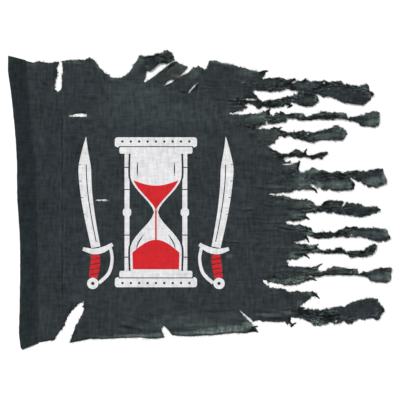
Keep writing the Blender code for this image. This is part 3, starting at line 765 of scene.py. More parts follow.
def tatter_shape(x, y):
    """Lift by the pleats and bunches of the tatters, how dark the cloth is where it is bunched, with
    painted shade in the troughs of the pleats, and how far out on a tatter each place is."""
    lift, density_and_shade, out = np.zeros(len(x)), np.zeros(len(x)), np.zeros(len(x))
    for number, (name, rows) in enumerate(TATTERS.items()):
        pleat_rng = random.Random(100 + number)
        low, high = eased(rows, 1, x), eased(rows, 2, x)
        width = np.maximum(high - low, 2.0)
        across = (2 * y - low - high) / width
        on = (np.abs(across) < 1.25) & (x > rows[0][0]) & (x < rows[-1][0] + 4)
        ramp = smooth((x - rows[0][0]) / ROOT)
        pinch = np.clip(1 - width / SPREAD_WIDTH, 0, 1)
        crown = np.clip(1 - across * across, 0, 1)
        shape = BUNCH * pinch * pinch * crown
        bunch_and_trough_shade = 0.6 * smooth(2.2 * pinch - 0.55) * crown ** 0.5
        for k in range(PLEATS):
            wave, phase = pleat_rng.uniform(17, 34), pleat_rng.uniform(0, 6.3)
            rise, rise_phase = pleat_rng.uniform(19, 45), pleat_rng.uniform(0, 6.3)
            middle = -0.9 + 1.8 * (k + 0.5) / PLEATS + 0.26 * np.sin(x / wave + phase)
            half = pleat_rng.uniform(3.6, 5.4)
            away = np.abs(across - middle) * width / 2 / half
            height = (0.9 + 1.6 * pinch) * (0.55 + 0.45 * np.sin(x / rise + rise_phase))
            pleat = height * (0.5 + 0.5 * np.cos(math.pi * np.clip(away, 0, 1)))
            shape = np.maximum(shape, pleat) + 0.4 * np.minimum(shape, pleat)
            # painted shade in the trough beside each pleat
            trough = np.exp(-((away - 1.0) / 0.38) ** 2) * smooth(height / 1.6)
            bunch_and_trough_shade = np.maximum(bunch_and_trough_shade, 0.55 * trough)
        curl = smooth((np.abs(across) - 0.62) / 0.38) * (0.4 + 0.6 * np.sin(x / 13 + number) ** 2)
        shape = shape + CURL * curl * smooth((width - 9) / 14)
        tip = smooth((x - rows[-1][0] + 26) / 26)
        shape = shape + TIP_CURL * tip * np.sin(y / 5.5 + number) ** 2
        lift = np.where(on, np.maximum(lift, ramp * shape), lift)
        density_and_shade = np.where(on, np.maximum(density_and_shade, ramp * bunch_and_trough_shade), density_and_shade)
        out = np.where(on, np.maximum(out, ramp), out)
    return lift, density_and_shade, out


print("a bunched tatter stands up to", BUNCH, "mm higher")

# %% Lift the flat cloth
flat_x, flat_y = flat_xy.T
pleat_lift, density_and_shade, on_tatter = tatter_shape(flat_x, flat_y)
crease_lift, crease_shade, crease_lip = crease_shape(flat_x, flat_y)
rumpled = inside_any(RUMPLED, on_tatter)
calm = inside_any(CALM, np.zeros(len(flat_x)))
rolling = 0.5 + 0.5 * noise_at(flat_x, flat_y, 58, 46, 0.3)
crinkle = 0.5 + 0.5 * noise_at(flat_x, flat_y, 13, 16, 4.1)
crumpled = rumpled * (1 - 0.8 * calm)
crumple = np.abs(noise_at(flat_x, flat_y, 17, 6.5, 9.7)) + 0.6 * np.abs(noise_at(flat_x, flat_y, 8, 3.8, 3))
folded = fold_lift(flat_x, flat_y)
height_mm = LOWEST + folded + pleat_lift + crease_lift + ROLLING * rolling + CRINKLE * crinkle
height_mm = np.maximum(height_mm + CRUMPLE * crumple * crumpled, LEAST)
print("cloth lies from", round(height_mm.min(), 2), "to", round(height_mm.max(), 2), "mm")

# %% [markdown]
# ## Where the gauze is thin, dense or dirty, and where light and shade are painted
# Single gauze over a pale surface looks paler where its threads have parted and darker where it is
# doubled or bunched. Four values are kept at each point of the cloth, and the material reads them:
# how open the weave is, how dense the cloth is, how crumpled it is, and its tint, from a cool
# blue-black to the green and brown of weathered cotton. The first two also carry painted light and
# shade: highlights on crease lips, crumple facets and edges that face up, and shade in creases, pleat
# troughs, crumples, under edges that face down and beside slits and holes. The patches are a table,
# one row each.

# %% Table of thin, dense and tinted patches, with painted light and shade among them
# x, y, half length, half width, turn in degrees, open, darkening, tint. Open also holds painted
# highlights along some edges and folds; darkening holds doubled cloth and painted shade beside
# slits, holes and folds.
PATCHES = (
    # the hoist side and the top edge
    (-355, 20, 70, 330, 0, 0, 0.13, 0.1), (-395, -250, 50, 70, 0, 0, 0.07, 0.3),
    (-90, 222, 215, 44, 0, 0.09, 0, 0.3), (-377, 322, 4.5, 32, 0, 0, 0.65, 0.6),
    (-343, -303, 5, 40, -28, 0, 0.55, 0.8), (-261, 346, 5, 22, 38, 0.24, 0, 0.6),
    (-180, 336, 5, 16, -32, 0.3, 0, 0.6), (92, 353, 70, 4, -9, 0.34, 0, 0.6),
    (-140, 340, 5, 16, 20, 0, 0.45, 0.9), (-400, 292, 26, 30, 0, 0, 0.1, 0),
    (-384, 288, 8, 14, 0, 0.08, 0, 1), (-470, 366, 26, 8, -10, 0, 0.25, 0.9),
    (-440, 364, 9, 4, 0, 0, 0.75, 0.9), (-165, 272, 105, 45, 0, 0.12, 0, 0.4),
    (150, -30, 60, 70, 0, 0, 0.05, 0.3), (90, 140, 60, 60, 0, 0.03, 0, 0.6),
    (85, 232, 30, 26, 0, 0.08, 0, 0.2), (-214, 316, 26, 5, 0, 0.34, 0, 0.6),
    (-320, 361, 50, 4, 2, 0.09, 0, 0.6), (-440, 356, 22, 4, 0, 0.2, 0, 0.6),
    (-108, 372, 46, 16, 12, 0.05, 0.12, 0.7), (-80, 382, 15, 9, -20, 0.12, 0.16, 1.2),
    (-112, 366, 20, 6, 10, 0, 0.42, -0.8), (-129, 350, 15, 7, 35, 0.24, 0, 0.9),
    (-154, 366, 9, 6, 0, 0.16, 0, 0.9), (-164, 345, 12, 24, -30, 0.12, 0, -0.5),
    (-60, 335, 36, 24, 35, 0.08, 0, 1.6), (-134, 340, 9, 7, 30, 0, 0.6, 2.2),
    (-34, 338, 8, 12, -40, 0.28, 0, 0.7), (-6, 332, 26, 14, 35, 0.12, 0, 1.2),
    (-6, 325, 13, 7, 35, 0.22, 0, 0.1), (14, 333, 8, 12, 0, 0, 0.25, 0.8),
    (-6, 290, 16, 4, 48, 0, 0.8, 0.2), (-96, 352, 20, 4, 24, 0, 0.55, -0.4),
    (-71, 353.5, 13, 3, 38, 0, 0.7, 0.3), (-120, 358, 22, 14, 12, 0, 0.56, 0.3),
    (-98, 369, 9, 3, 0, 0, 0.6, 0.2), (-32, 285, 10, 7, 40, 0, 0.35, 0.3), (40, 363, 14, 3, 0, 0.3, 0, 0.5),
    (76, 356, 16, 3, -8, 0.22, 0, 0.5), (128, 332, 26, 14, -14, 0.15, 0, 0.9),
    (160, 336, 24, 5, -6, 0.55, 0, 0.6),
    # the first and second tatter
    (180, 302, 30, 14, -4, 0.04, 0.05, 0.8), (132, 272, 14, 8, 0, 0, 0.45, 0.6),
    (146, 283, 12, 14, 0, 0, 0.05, 0.9), (212, 300, 18, 12, 0, 0.02, 0.42, 0.7),
    (236, 306, 16, 7, 10, 0, 0.85, 0.6), (292, 299, 30, 10, 0, 0.17, 0, -0.6),
    (332, 298, 26, 5, 20, 0, 0.95, 0.4), (346, 280, 14, 6, 30, 0.1, 0, 0.1),
    (366, 303, 16, 7, 0, 0.1, 0.3, 0.9), (390, 291, 20, 9, -14, 0.05, 0.25, 0.8),
    (440, 292, 13, 14, 0, 0.42, 0, 0.6), (400, 268, 45, 17, -14, 0, 0.16, -0.4),
    (400, 253, 34, 3.5, -8, 0, 0.7, 0.3), (334, 305, 12, 8, 0, 0, 0.95, 0.5),
    (454, 275, 7, 8, 0, 0.4, 0, 0.5), (305, 289, 16, 4, 0, 0, 0.6, 0.3),
    (142, 280, 20, 12, -20, 0, 0.45, 0.3), (120, 242, 11, 9, 0, 0.05, 0.55, 3),
    (200, 246, 60, 5, 6, 0, 0.75, 0.6), (190, 257, 40, 5, 4, 0.1, 0, 0.8),
    (252, 264, 12, 6, 20, 0.26, 0, 0.7), (130, 259, 34, 4, 0, 0, 0.9, 0.4),
    (126, 252, 24, 8, 0, 0, 0.36, 0.5), (290, 264, 18, 10, 0, 0.05, 0, 0.8),
    (280, 249, 22, 6, 0, 0, 0.5, 0.8), (310, 264, 7, 9, 0, 0.3, 0, 0.9),
    # the third and fourth tatter
    (146, 218, 14, 6, 0, 0.42, 0, 0.6), (160, 210, 36, 13, 4, 0.2, 0, 0.9),
    (156, 201, 14, 5, 0, 0, 0.35, 0.8), (171, 218, 21, 12, 0, 0.66, 0, 0.6),
    (206, 220, 20, 7, 0, 0.3, 0, 0.7), (215, 208, 26, 8, 0, 0.24, 0.05, 0.7),
    (238, 217, 14, 6, 0, 0.26, 0, 0.6), (266, 220, 14, 6, 0, 0.7, 0, 0.6),
    (286, 213, 11, 4, 0, 0.36, 0, 0.8), (328, 223, 26, 6, 6, 0.46, 0, 0.6),
    (378, 220, 18, 8, 0, 0.52, 0, 0.5), (405, 211, 20, 4, 0, 0.22, 0, 0.5),
    (350, 213, 30, 3, 0, 0, 0.35, 0.4), (462, 202, 24, 11, 0, 0.58, 0, 0.5),
    (456, 219, 20, 8, 4, 0.26, 0, 0.5), (446, 210, 10, 6, 0, 0, 0.4, 0.5),
    (478, 210, 7, 18, 0, 0.66, 0, 0.5), (190, 168, 36, 20, 0, 0.12, 0, 0.9),
    (208, 180, 12, 7, 0, 0.46, 0, 0.7), (250, 168, 24, 5, 0, 0.16, 0.12, 1),
    (276, 171, 12, 7, 0, 0.24, 0.1, 0.8), (300, 177, 14, 3, 4, 0, 0.6, 0.5),
    (330, 167, 50, 10, 6, 0.36, 0, 0.5), (312, 156, 26, 4, 0, 0, 0.45, 0.5),
    (328, 176, 26, 5, 8, 0, 0.45, 0.3), (370, 184, 14, 8, 0, 0.44, 0, 0.3),
    (386, 172, 8, 14, 0, 0.5, 0, 0.3), (226, 170, 12, 8, 0, 0.24, 0.05, 2.8),
    # the fifth and sixth tatter
    (232, 112, 30, 5, 4, 0, 0.75, 0.6), (262, 122, 20, 7, 0, 0.06, 0.4, 0.8),
    (202, 125.5, 24, 3.2, -33, 0, 0.85, 0.3), (316, 113, 30, 8, 6, 0.2, 0.15, 2.4),
    (335, 120, 8, 6, 30, 0.4, 0, 0.9), (225, 100, 50, 10, -30, 0.06, 0.1, 0.9),
    (250, 88, 11, 5, 0, 0.44, 0, 2.8), (264, 80, 3, 10, 0, 0, 0.5, 0.8), (276, 48, 24, 26, 0, 0.4, 0, 0.4),
    (222, 32, 44, 7, 0, 0.2, 0, 0.6), (296, 74, 26, 9, 0, 0.5, 0, 0.7), (300, 40, 12, 8, 0, 0.45, 0, 0.4),
    (352, 63, 52, 8, 0, 0, 0.5, 0.2), (362, 39, 34, 12, 0, 0.52, 0, 0.5),
    (316, 38, 17, 10, 0, 0.66, 0, 0.3), (342, 42, 12, 5, -20, 0, 0.15, 0.3),
    (370, 56, 14, 4, 0, 0, 0.45, 0.5), (396, 38, 12, 12, 0, 0.42, 0, 0.1), (409, 35, 4, 13, 0, 0, 0.8, 0.5),
    (374, 38, 12, 12, 0, 0.62, 0, 0.3), (430, 62, 28, 9, 0, 0.06, 0.4, 0.6),
    (464, 48, 24, 12, 0, 0.68, 0, 0.2), (490, 54, 9, 16, 0, 0.7, 0, 0.3), (468, 72, 24, 6, 2, 0.05, 0.2, 0),
    # the seventh and eighth tatter
    (276, -14, 30, 10, 0, 0.32, 0, 0.8), (296, -17, 10, 8, 0, 0.42, 0, 1.2),
    (306, -27, 13, 5, 0, 0.44, 0, 0.7), (262, -41, 26, 8, 0, 0.42, 0, 0.2),
    (258, -53, 20, 4, 0, 0, 0.45, 0.4), (262, -26, 36, 3, 0, 0, 0.8, 0.3),
    (230, -7, 30, 6, -12, 0.12, 0.1, 0.9), (345, -14, 34, 8, 0, 0.12, 0.35, 0.8),
    (316, -22, 11, 8, 0, 0.38, 0, 0.8), (336, -9, 12, 6, 15, 0, 0.95, 0.5),
    (400, -13, 22, 7, 0, 0.24, 0, 0.5), (405, -32, 60, 10, -4, 0, 0.24, -0.5),
    (438, -40, 28, 7, 4, 0, 0.6, 0.2), (458, -20, 16, 4, -4, 0.36, 0, 0.4),
    (452, -29, 14, 5, 20, 0, 0.7, 0.2), (272, -77, 17, 8, 0, 0.4, 0, 0.3),
    (290, -88, 16, 9, 0, 0.72, 0, 0.4), (248, -70, 16, 5, 0, 0, 0.35, 0.2),
    (262, -96, 26, 6, 0, 0, 0.2, 0.1), (350, -93, 36, 5, 0, 0.08, 0.38, 0.5),
    (405, -88, 26, 10, 0, 0.34, 0, 0.8), (410, -77, 26, 3, 0, 0, 0.55, 0.7),
    (462, -92, 38, 15, 0, 0.17, 0, -0.2), (456, -97, 14, 8, 0, 0, 0.25, 0.1),
    (495, -86, 9, 14, 0, 0.68, 0, 0.4), (480, -110, 12, 5, -10, 0.4, 0, 0.4),
    (440, -79, 30, 3, 0, 0.05, 0.4, 0.6),
    # the ninth and tenth tatter
    (264, -144, 28, 11, 10, 0.66, 0, 0.6), (298, -124, 16, 8, 0, 0.66, 0, 0.7),
    (262, -126, 20, 6, 0, 0.16, 0, 0.2), (280, -133, 30, 2.5, 8, 0, 0.6, 0.4),
    (328, -136, 14, 5, 0, 0.2, 0.2, 0.5), (309, -136, 13, 6, 0, 0.6, 0, 0.5),
    (348, -136, 14, 3.5, 0, 0.3, 0.1, 0.5), (372, -136, 14, 5, 0, 0, 0.6, 0.3),
    (405, -140, 20, 5, 0, 0.18, 0.1, 0.6), (430, -146, 24, 5, 0, 0, 0.36, 0.8),
    (463, -122, 8, 9, 0, 0.34, 0, 0.6), (452, -134, 12, 8, 30, 0.05, 0.3, 0.7),
    (190, -205, 28, 5, 0, 0, 0.5, 0.5), (252, -212, 48, 9, 6, 0.74, 0, 0.7),
    (205, -214, 18, 5, 0, 0.4, 0, 0.7), (220, -193, 50, 9, 0, 0.05, 0.05, -0.2),
    (295, -188, 26, 9, 0, 0.26, 0, 0.5), (312, -184, 11, 8, 0, 0.62, 0, 0.7),
    (250, -201, 46, 3, 0, 0, 0.35, 1.9), (344, -187, 13, 8, 20, 0.14, 0.1, 2.8),
    (320, -193, 10, 8, 0, 0.26, 0, 0.6), (372, -181, 26, 4, 0, 0.44, 0, 0.5),
    (385, -191, 30, 7, 0, 0.16, 0.15, 0.7), (412, -189, 13, 8, 0, 0.78, 0, 0.5),
    (430, -196, 9, 3, 0, 0, 0.45, 0.3), (474, -184, 34, 6, 6, 0.05, 0.1, 3),
    (472, -204, 24, 10, 0, 0.5, 0, 0.5), (499, -203, 10, 16, 0, 0.75, 0, 0.3),
    (486, -184, 20, 4, 6, 0, 0.35, 1),
    # the eleventh tatter and the cloth beside it
    (228, -250, 24, 9, 0, 0, 0.4, 0.5), (298, -247, 14, 6, -20, 0.62, 0, 0.8),
    (232, -240, 30, 8, 0, 0, 0.35, 0.1), (268, -273, 9, 8, 0, 0.28, 0, 0.7),
    (232, -299, 20, 7, 0, 0.26, 0, 0.6), (275, -296, 26, 9, 0, 0, 0.9, 0.6),
    (306, -294, 30, 5, 0, 0, 0.5, 0.5), (306, -318, 18, 10, -10, 0.46, 0, 0.5),
    (345, -307, 26, 6, 10, 0, 0.95, 0.4), (350, -294, 16, 6, 0, 0.18, 0, 0.2),
    (352, -318, 30, 6, 0, 0.1, 0.3, 0.7), (330, -327, 36, 4, 0, 0.44, 0, 0.6),
    (410, -290, 40, 17, 10, 0, 0.15, 0.1), (386, -320, 12, 5, 0, 0, 0.5, 0.4),
    (440, -282, 36, 16, 0, 0, 0.24, 0), (474, -306, 10, 10, 0, 0.34, 0, 0.6),
    (190, -303, 46, 4.5, 0, 0.32, 0, 0.1), (200, -314, 46, 5, 0, 0, 0.5, 0.4),
    # the bottom edge
    (130, -332, 17, 13, 0, 0.95, 0, 0.8), (143, -342, 9, 6, 0, 0, 0.6, 2.4),
    (86, -341, 48, 10, 6, 1.2, 0, 0.5), (30, -347, 50, 8, 3, 1.15, 0, 0.5),
    (-34, -352, 30, 6, 0, 0.5, 0, 0.5), (-108, -356, 18, 6, 0, 0.75, 0, 0.2),
    (-165, -359, 60, 4, 0, 0.95, 0, -0.3), (-245, -362, 46, 4, 0, 0.3, 0, 0.5),
    (20, -330, 90, 12, 3, 0.17, 0, 0.6), (-70, -336, 14, 10, 0, 0, 0.15, 0.8),
    (-93, -340, 3, 16, -12, 0, 0.4, 2.6), (90, -312, 50, 8, 6, 0.1, 0, 0.3),
    (-60, -320, 90, 20, 4, 0.11, 0, 0.1), (-300, -362, 60, 5, 0, 0.05, 0.2, 0.9),
    # small worn places in the middle
    (-281, -146, 9, 5, 0, 0.5, 0, 0.3), (84, -149, 12, 5, 0, 0.45, 0, 0.1),
    (-256, -1, 24, 11, 0, 0.1, 0, 1),
)


print(len(PATCHES), "patches")

# %% Patches, curled ends and torn edges as values
PLAIN_TINT = 0.35        # the tint of cloth that no patch colours
PLAIN_WEIGHT = 0.35      # and how much it counts beside the patches
NUB_DARK = 0.8           # how gathered a curled end is
RIM_REACH = 7.0          # an edge colours the cloth this far in


def patch_values(x, y):
    """Openness with painted highlights, darkening with painted shade, and tint that the patches give,
    each fading to its edge.
    """
    open_weave_and_highlight, darkening = np.zeros(len(x)), np.zeros(len(x))
    tint, weight = np.full(len(x), PLAIN_TINT * PLAIN_WEIGHT), np.full(len(x), PLAIN_WEIGHT)
    wobble = 0.30 * noise_at(x, y, 11, 8, 2.2) + 0.16 * noise_at(x, y, 5, 4, 7.2)
    for *place, open_and_lit, darken, hue in PATCHES:
        inside = ellipse(x, y, place, wobble=wobble)
        open_weave_and_highlight = np.maximum(open_weave_and_highlight, open_and_lit * inside)
        darkening = np.maximum(darkening, darken * inside)
        tint, weight = tint + hue * inside, weight + inside
    return open_weave_and_highlight, darkening, tint / weight


def nub_values(x, y):
    """Gathering of the curled thread ends."""
    darkening = np.zeros(len(x))
    for x0, y0, x1, y1, width in NUBS:
        dx, dy = x1 - x0, y1 - y0
        share = np.clip(((x - x0) * dx + (y - y0) * dy) / (dx * dx + dy * dy), 0, 1)
        away = np.hypot(x - x0 - share * dx, y - y0 - share * dy)
        darkening = np.maximum(darkening, NUB_DARK * smooth(1.5 - away / width))
    return darkening


def torn_edges():
    """The cloth's own border as pairs of points, the cloth on the left of each pair."""
    pairs = np.concatenate([triangles[:, [0, 1]], triangles[:, [1, 2]], triangles[:, [2, 0]]])
    known = {tuple(pair) for pair in pairs.tolist()}
    border = np.array([pair for pair in pairs.tolist() if (pair[1], pair[0]) not in known])
    hoist = max(point.x for point in SLEEVE_FOOT) + 1
    return border[flat_xy[border][:, :, 0].max(axis=1) > hoist]


def edge_reach(x, y):
    """How far each place is from the nearest torn edge or hole, and how far that edge faces down."""
    run = flat_xy[BORDER[:, 1]] - flat_xy[BORDER[:, 0]]
    down = run[:, 0] / np.maximum(np.hypot(run[:, 0], run[:, 1]), 1e-6)
    tree = search_tree(flat_xy[BORDER[:, 0]])
    away, facing = np.zeros(len(x)), np.zeros(len(x))
    for k, place in enumerate(zip(x, y, np.zeros(len(x)))):
        away[k] = tree.find(place)[2]
        if away[k] < RIM_REACH:
            facing[k] = np.mean([down[index] for _, index, _ in tree.find_n(place, 5)])
    return away, facing


BORDER = torn_edges()
print("torn border", len(BORDER), "steps")

# %% How open, dense and tinted the cloth is, with painted light and shade
RIB_TOP = -320.0         # below this line the upright threads bunch into fine ribs
WOVEN_END = 150          # x at which the ribs and the woven edge end
RIB_DEPTH = 0.40         # how much the ribs change the openness
MOTTLE = 0.45            # how much the blotches change it on the patches
LIP_HIGHLIGHT = 0.14          # painted highlight on the lips of a crease
EDGE_OPEN = 0.24         # how open the cloth is along a torn edge that faces sideways
EDGE_LIGHT = 0.16         # painted light: that much paler on an edge that faces up, and less pale on one that faces down
CRUMPLE_HIGHLIGHT = 0.42      # painted highlight on the lit facets of the crumples
CRUMPLE_SHADE = 0.62      # and painted shade on their shaded facets
BODY_OPEN = 0.04         # slight clouds on the flat cloth
BODY_DARK = 0.07
RIM_SHADE = 0.92          # painted shade along a torn edge, darkest where it faces down, and the dark of its curled rim
WOVEN_DARK = 0.9         # the dark rim of the woven edge
EDGE_TINT = 0.30         # how much further towards brown the edges are weathered
TINT_DRIFT = 0.35        # how far the tint drifts on the crumpled cloth
patch_open_and_lit, patch_dense_and_shade, tint = patch_values(flat_x, flat_y)
away, facing = edge_reach(flat_x, flat_y)
near_edge, rim = smooth(1 - away / 6), smooth(1 - away / (2.8 + 1.0 * facing))
worn = smooth(0.5 + 0.9 * noise_at(flat_x, flat_y, 17, 12, 6.6))
blotch = noise_at(flat_x, flat_y, 19, 4.2, 8.8) + 0.7 * noise_at(flat_x, flat_y, 8, 2.9, 5.5)
smudge = noise_at(flat_x, flat_y, 24, 20, 12.5) + 0.6 * noise_at(flat_x, flat_y, 9, 12, 15.5)
on_body = 1 - rumpled
ribbed = smooth((RIB_TOP - flat_y) / 12) * (flat_x < WOVEN_END)
# the lips of the creases get a painted highlight
open_weave_and_highlight = patch_open_and_lit * (1 + MOTTLE * blotch * (1 - 0.7 * calm)) + LIP_HIGHLIGHT * crease_lip
open_weave_and_highlight *= 1 + RIB_DEPTH * ribbed * noise_at(flat_x, flat_y, 3.0, 16, 3.3)
# painted light on the torn edges: paler where they face up, less pale where they face down
open_weave_and_highlight += near_edge * worn * (EDGE_OPEN - EDGE_LIGHT * facing) * (1 - 0.12 * on_body)
# painted highlight on the lit crumple facets
facets = crumpled * CRUMPLE_HIGHLIGHT * smooth(1.6 * blotch - 0.1)
open_weave_and_highlight += facets + on_body * BODY_OPEN * smooth(1.5 * smudge)
open_weave_and_highlight = np.clip(open_weave_and_highlight, 0, 1)
density_and_shade = density_and_shade * (1 - 1.2 * np.minimum(patch_open_and_lit, 0.7)) * (1 - 0.6 * calm)
density_and_shade = np.maximum(density_and_shade, patch_dense_and_shade * (1 - 0.3 * blotch))
# painted shade in the creases, and the dark of the curled thread ends
density_and_shade = np.maximum(density_and_shade, np.maximum(nub_values(flat_x, flat_y), crease_shade))
# painted shade on the shaded crumple facets
density_and_shade += crumpled * CRUMPLE_SHADE * smooth(-1.8 * blotch - 0.1) * (1 - 0.9 * patch_open_and_lit)
density_and_shade += on_body * BODY_DARK * smooth(-1.5 * smudge)
covering = smooth(3.5 * patch_open_and_lit) * (1 - 0.65 * np.clip(1.6 * facing, 0, 1) * smooth(2.2 - 3 * patch_open_and_lit))
# painted shade along torn edges, darkest where they face down, less where the cloth is open
rim_shade_and_dark_hem = RIM_SHADE * rim * smooth(1.15 - 1.5 * worn + 0.75 * facing) * (1 - covering)
rim_shade_and_dark_hem = np.maximum(rim_shade_and_dark_hem, WOVEN_DARK * rim * (flat_y < SELVEDGE) * (flat_x < WOVEN_END))
density_and_shade = np.clip(np.maximum(density_and_shade, rim_shade_and_dark_hem) * (1 + 0.05 * rumpled), 0, 1.02)
open_weave_and_highlight = open_weave_and_highlight * (1 - 0.85 * density_and_shade)
tint += EDGE_TINT * near_edge + TINT_DRIFT * rumpled * noise_at(flat_x, flat_y, 26, 14, 1.9)
tint = np.clip(tint, 0, 2)
print("most open", round(float(open_weave_and_highlight.max()), 2), "most gathered", round(float(density_and_shade.max()), 2))

# %% [markdown]
# ## Meshes of the cloth and of the ink
# The triangles become one thin sheet. Its flat cut is kept as a UV map in metres, so that the weave
# follows the cloth and not the air, and the values of the last step are stored as named attributes.
# A Solidify modifier gives the sheet its thin wall. The ink is a film on top, one piece for each
# colour, made from the very triangles that the print covers, so it follows every fold.

# %% Build the cloth and the two inks
INK_LIFT = 0.05          # the film of ink above the face of the cloth
INK_THICK = 0.05


def placed(name, data):
    """A new object in the scene."""
    thing = bpy.data.objects.new(name, data)
    bpy.context.scene.collection.objects.link(thing)
    return thing


def store(mesh, values, kind="FLOAT", domain="POINT"):
    """Keeps each named row of values as an attribute of the mesh."""
    for key, value in values.items():
        data = mesh.attributes.new(key, kind, domain).data
        data.foreach_set("vector" if kind == "FLOAT_VECTOR" else "value", value)


def sheet(name, points, faces, cut, values, thickness):
    """A thin sheet from points and a flat cut in millimetres. Its open edges are marked sharp, so that
    the thin wall does not round off the shading beside them."""
    mesh = bpy.data.meshes.new(name)
    mesh.from_pydata((points * MM).tolist(), [], faces)
    mesh.shade_smooth()
    edge_of, corners = np.zeros(len(mesh.loops), int), np.zeros(len(mesh.loops), int)
    mesh.loops.foreach_get("edge_index", edge_of)
    mesh.loops.foreach_get("vertex_index", corners)
    border = np.bincount(edge_of, minlength=len(mesh.edges)) == 1
    store(mesh, {"sharp_edge": border}, "BOOLEAN", "EDGE")
    mesh.uv_layers.new(name="flat_cut").data.foreach_set("uv", (cut[corners] * MM).ravel())
    store(mesh, values)
    piece = placed(name, mesh)
    wall = piece.modifiers.new("thickness", "SOLIDIFY")
    wall.thickness, wall.offset = thickness * MM, 0
    print(name, len(mesh.vertices), "points", len(faces), "faces")
    return piece


def flat_piece(name, chosen, lift, values, thickness):
    """A sheet of the chosen triangles, lifted above the middle of the cloth."""
    used = np.unique(chosen)
    place = np.zeros(len(flat_xy), int)
    place[used] = np.arange(len(used))
    at = np.column_stack([flat_x[used] + SHIFT[0], flat_y[used] + SHIFT[1], height_mm[used] + lift])
    values = {key: value[used] for key, value in values.items()}
    return sheet(name, at, place[chosen].tolist(), flat_xy[used], values, thickness)


cloth_values = {"open_weave_and_highlight": open_weave_and_highlight, "density_and_shade": density_and_shade, "tint": tint, "crumpled": crumpled}
flag_gauze = flat_piece("flag_gauze", triangles, 0, cloth_values, CLOTH_THICK)
white_ink, red_ink = (flat_piece(f"{ink_name}_ink", triangles[inks == ink_name], CLOTH_THICK / 2 + INK_LIFT,
                                 {}, INK_THICK) for ink_name in ("white", "red"))

# %% [markdown]
# ## The gauze finish
# Gauze is an open plain weave of soft cotton. Close up there are threads both ways with gaps between
# them; from further off there are streaks where threads are thick or have drifted together. A node
# group makes both from the flat cut, so the cloth, the sleeve and the inks share one weave. It puts
# out a streak value, a thread height and a mask of the gaps. A second group paints the light and
# shade of the small facets and the pressed lines of crumpled gauze, and gives them a bump height.

# %% Node helpers


class Wires:
    """Short ways to add and join nodes in one tree."""

    def __init__(self, tree):
        self.tree = tree

    def node(self, kind, inputs=None, **settings):
        """A new node with these settings, its inputs set or joined."""
        node = self.tree.nodes.new(kind)
        for key, value in settings.items():
            setattr(node, key, value)
        for key, value in (inputs or {}).items():
            self.feed(node.inputs[key], value)
        return node

    def put(self, kind, inputs=None, **settings):
        """The first output of such a node."""
        return self.node(kind, inputs, **settings).outputs[0]

    def feed(self, socket, value):
        """Joins an input to another socket, or sets its value."""
        if isinstance(value, bpy.types.NodeSocket):
            self.tree.links.new(value, socket)
        else:
            socket.default_value = value

    def math(self, operation, a, b=0.0, c=0.0, clamp=False):
        return self.put("ShaderNodeMath", {0: a, 1: b, 2: c}, operation=operation, use_clamp=clamp)

    def times(self, a, b):
        return self.math("MULTIPLY", a, b)

    def plus(self, first, *others):
        for other in others:
            first = self.math("ADD", first, other)
        return first

    def vector(self, operation, inputs):
        return self.put("ShaderNodeVectorMath", inputs, operation=operation)

    def ranged(self, value, low, high, to_low=0.0, to_high=1.0):
        """A value carried from one range to another, and kept inside it."""
        inputs = {"Value": value, "From Min": low, "From Max": high, "To Min": to_low, "To Max": to_high}
        return self.put("ShaderNodeMapRange", inputs)

    def mix(self, factor, a, b, blend="MIX"):
        node = self.node("ShaderNodeMix", data_type="RGBA", blend_type=blend)
        for socket, value in zip((node.inputs[0], node.inputs[6], node.inputs[7]), (factor, a, b)):
            self.feed(socket, value)
        return node.outputs[2]

    def shaded(self, colour, shade):
        """A colour made darker below a shade of 1 and lighter above it."""
        grey = self.put("ShaderNodeCombineXYZ", {0: shade, 1: shade, 2: shade})
        return self.mix(1.0, colour, grey, "MULTIPLY")

    def noise(self, vector, x, y, detail=2.0):
        """Unevenness with x and y bumps a metre along the two directions."""
        scaled = self.put("ShaderNodeMapping", {"Vector": vector, "Scale": (x, y, 1.0)})
        return self.put("ShaderNodeTexNoise", {"Vector": scaled, "Scale": 1.0, "Detail": detail})

    def drifted(self, cut, scale, detail, amount):
        """The flat cut pushed about a little, so that threads are never quite straight."""
        drift = self.node("ShaderNodeTexNoise", {"Vector": cut, "Scale": scale, "Detail": detail})
        shift = self.vector("SCALE", {0: drift.outputs["Color"], "Scale": amount})
        return self.vector("ADD", {0: cut, 1: shift})


def new_group(name, inputs, outputs, kind_of_tree="ShaderNodeTree"):
    """An empty node group with these named sockets, and its wires."""
    group = bpy.data.node_groups.new(name, kind_of_tree)
    for label, kind, default in inputs:
        socket = group.interface.new_socket(label, in_out="INPUT", socket_type=kind)
        if default is not None:
            socket.default_value = default
    for label, kind in outputs:
        group.interface.new_socket(label, in_out="OUTPUT", socket_type=kind)
    wires = Wires(group)
    return group, wires, wires.node("NodeGroupInput").outputs, wires.node("NodeGroupOutput").inputs


print("node groups so far", len(bpy.data.node_groups))

# %% The weave and the crumple as groups


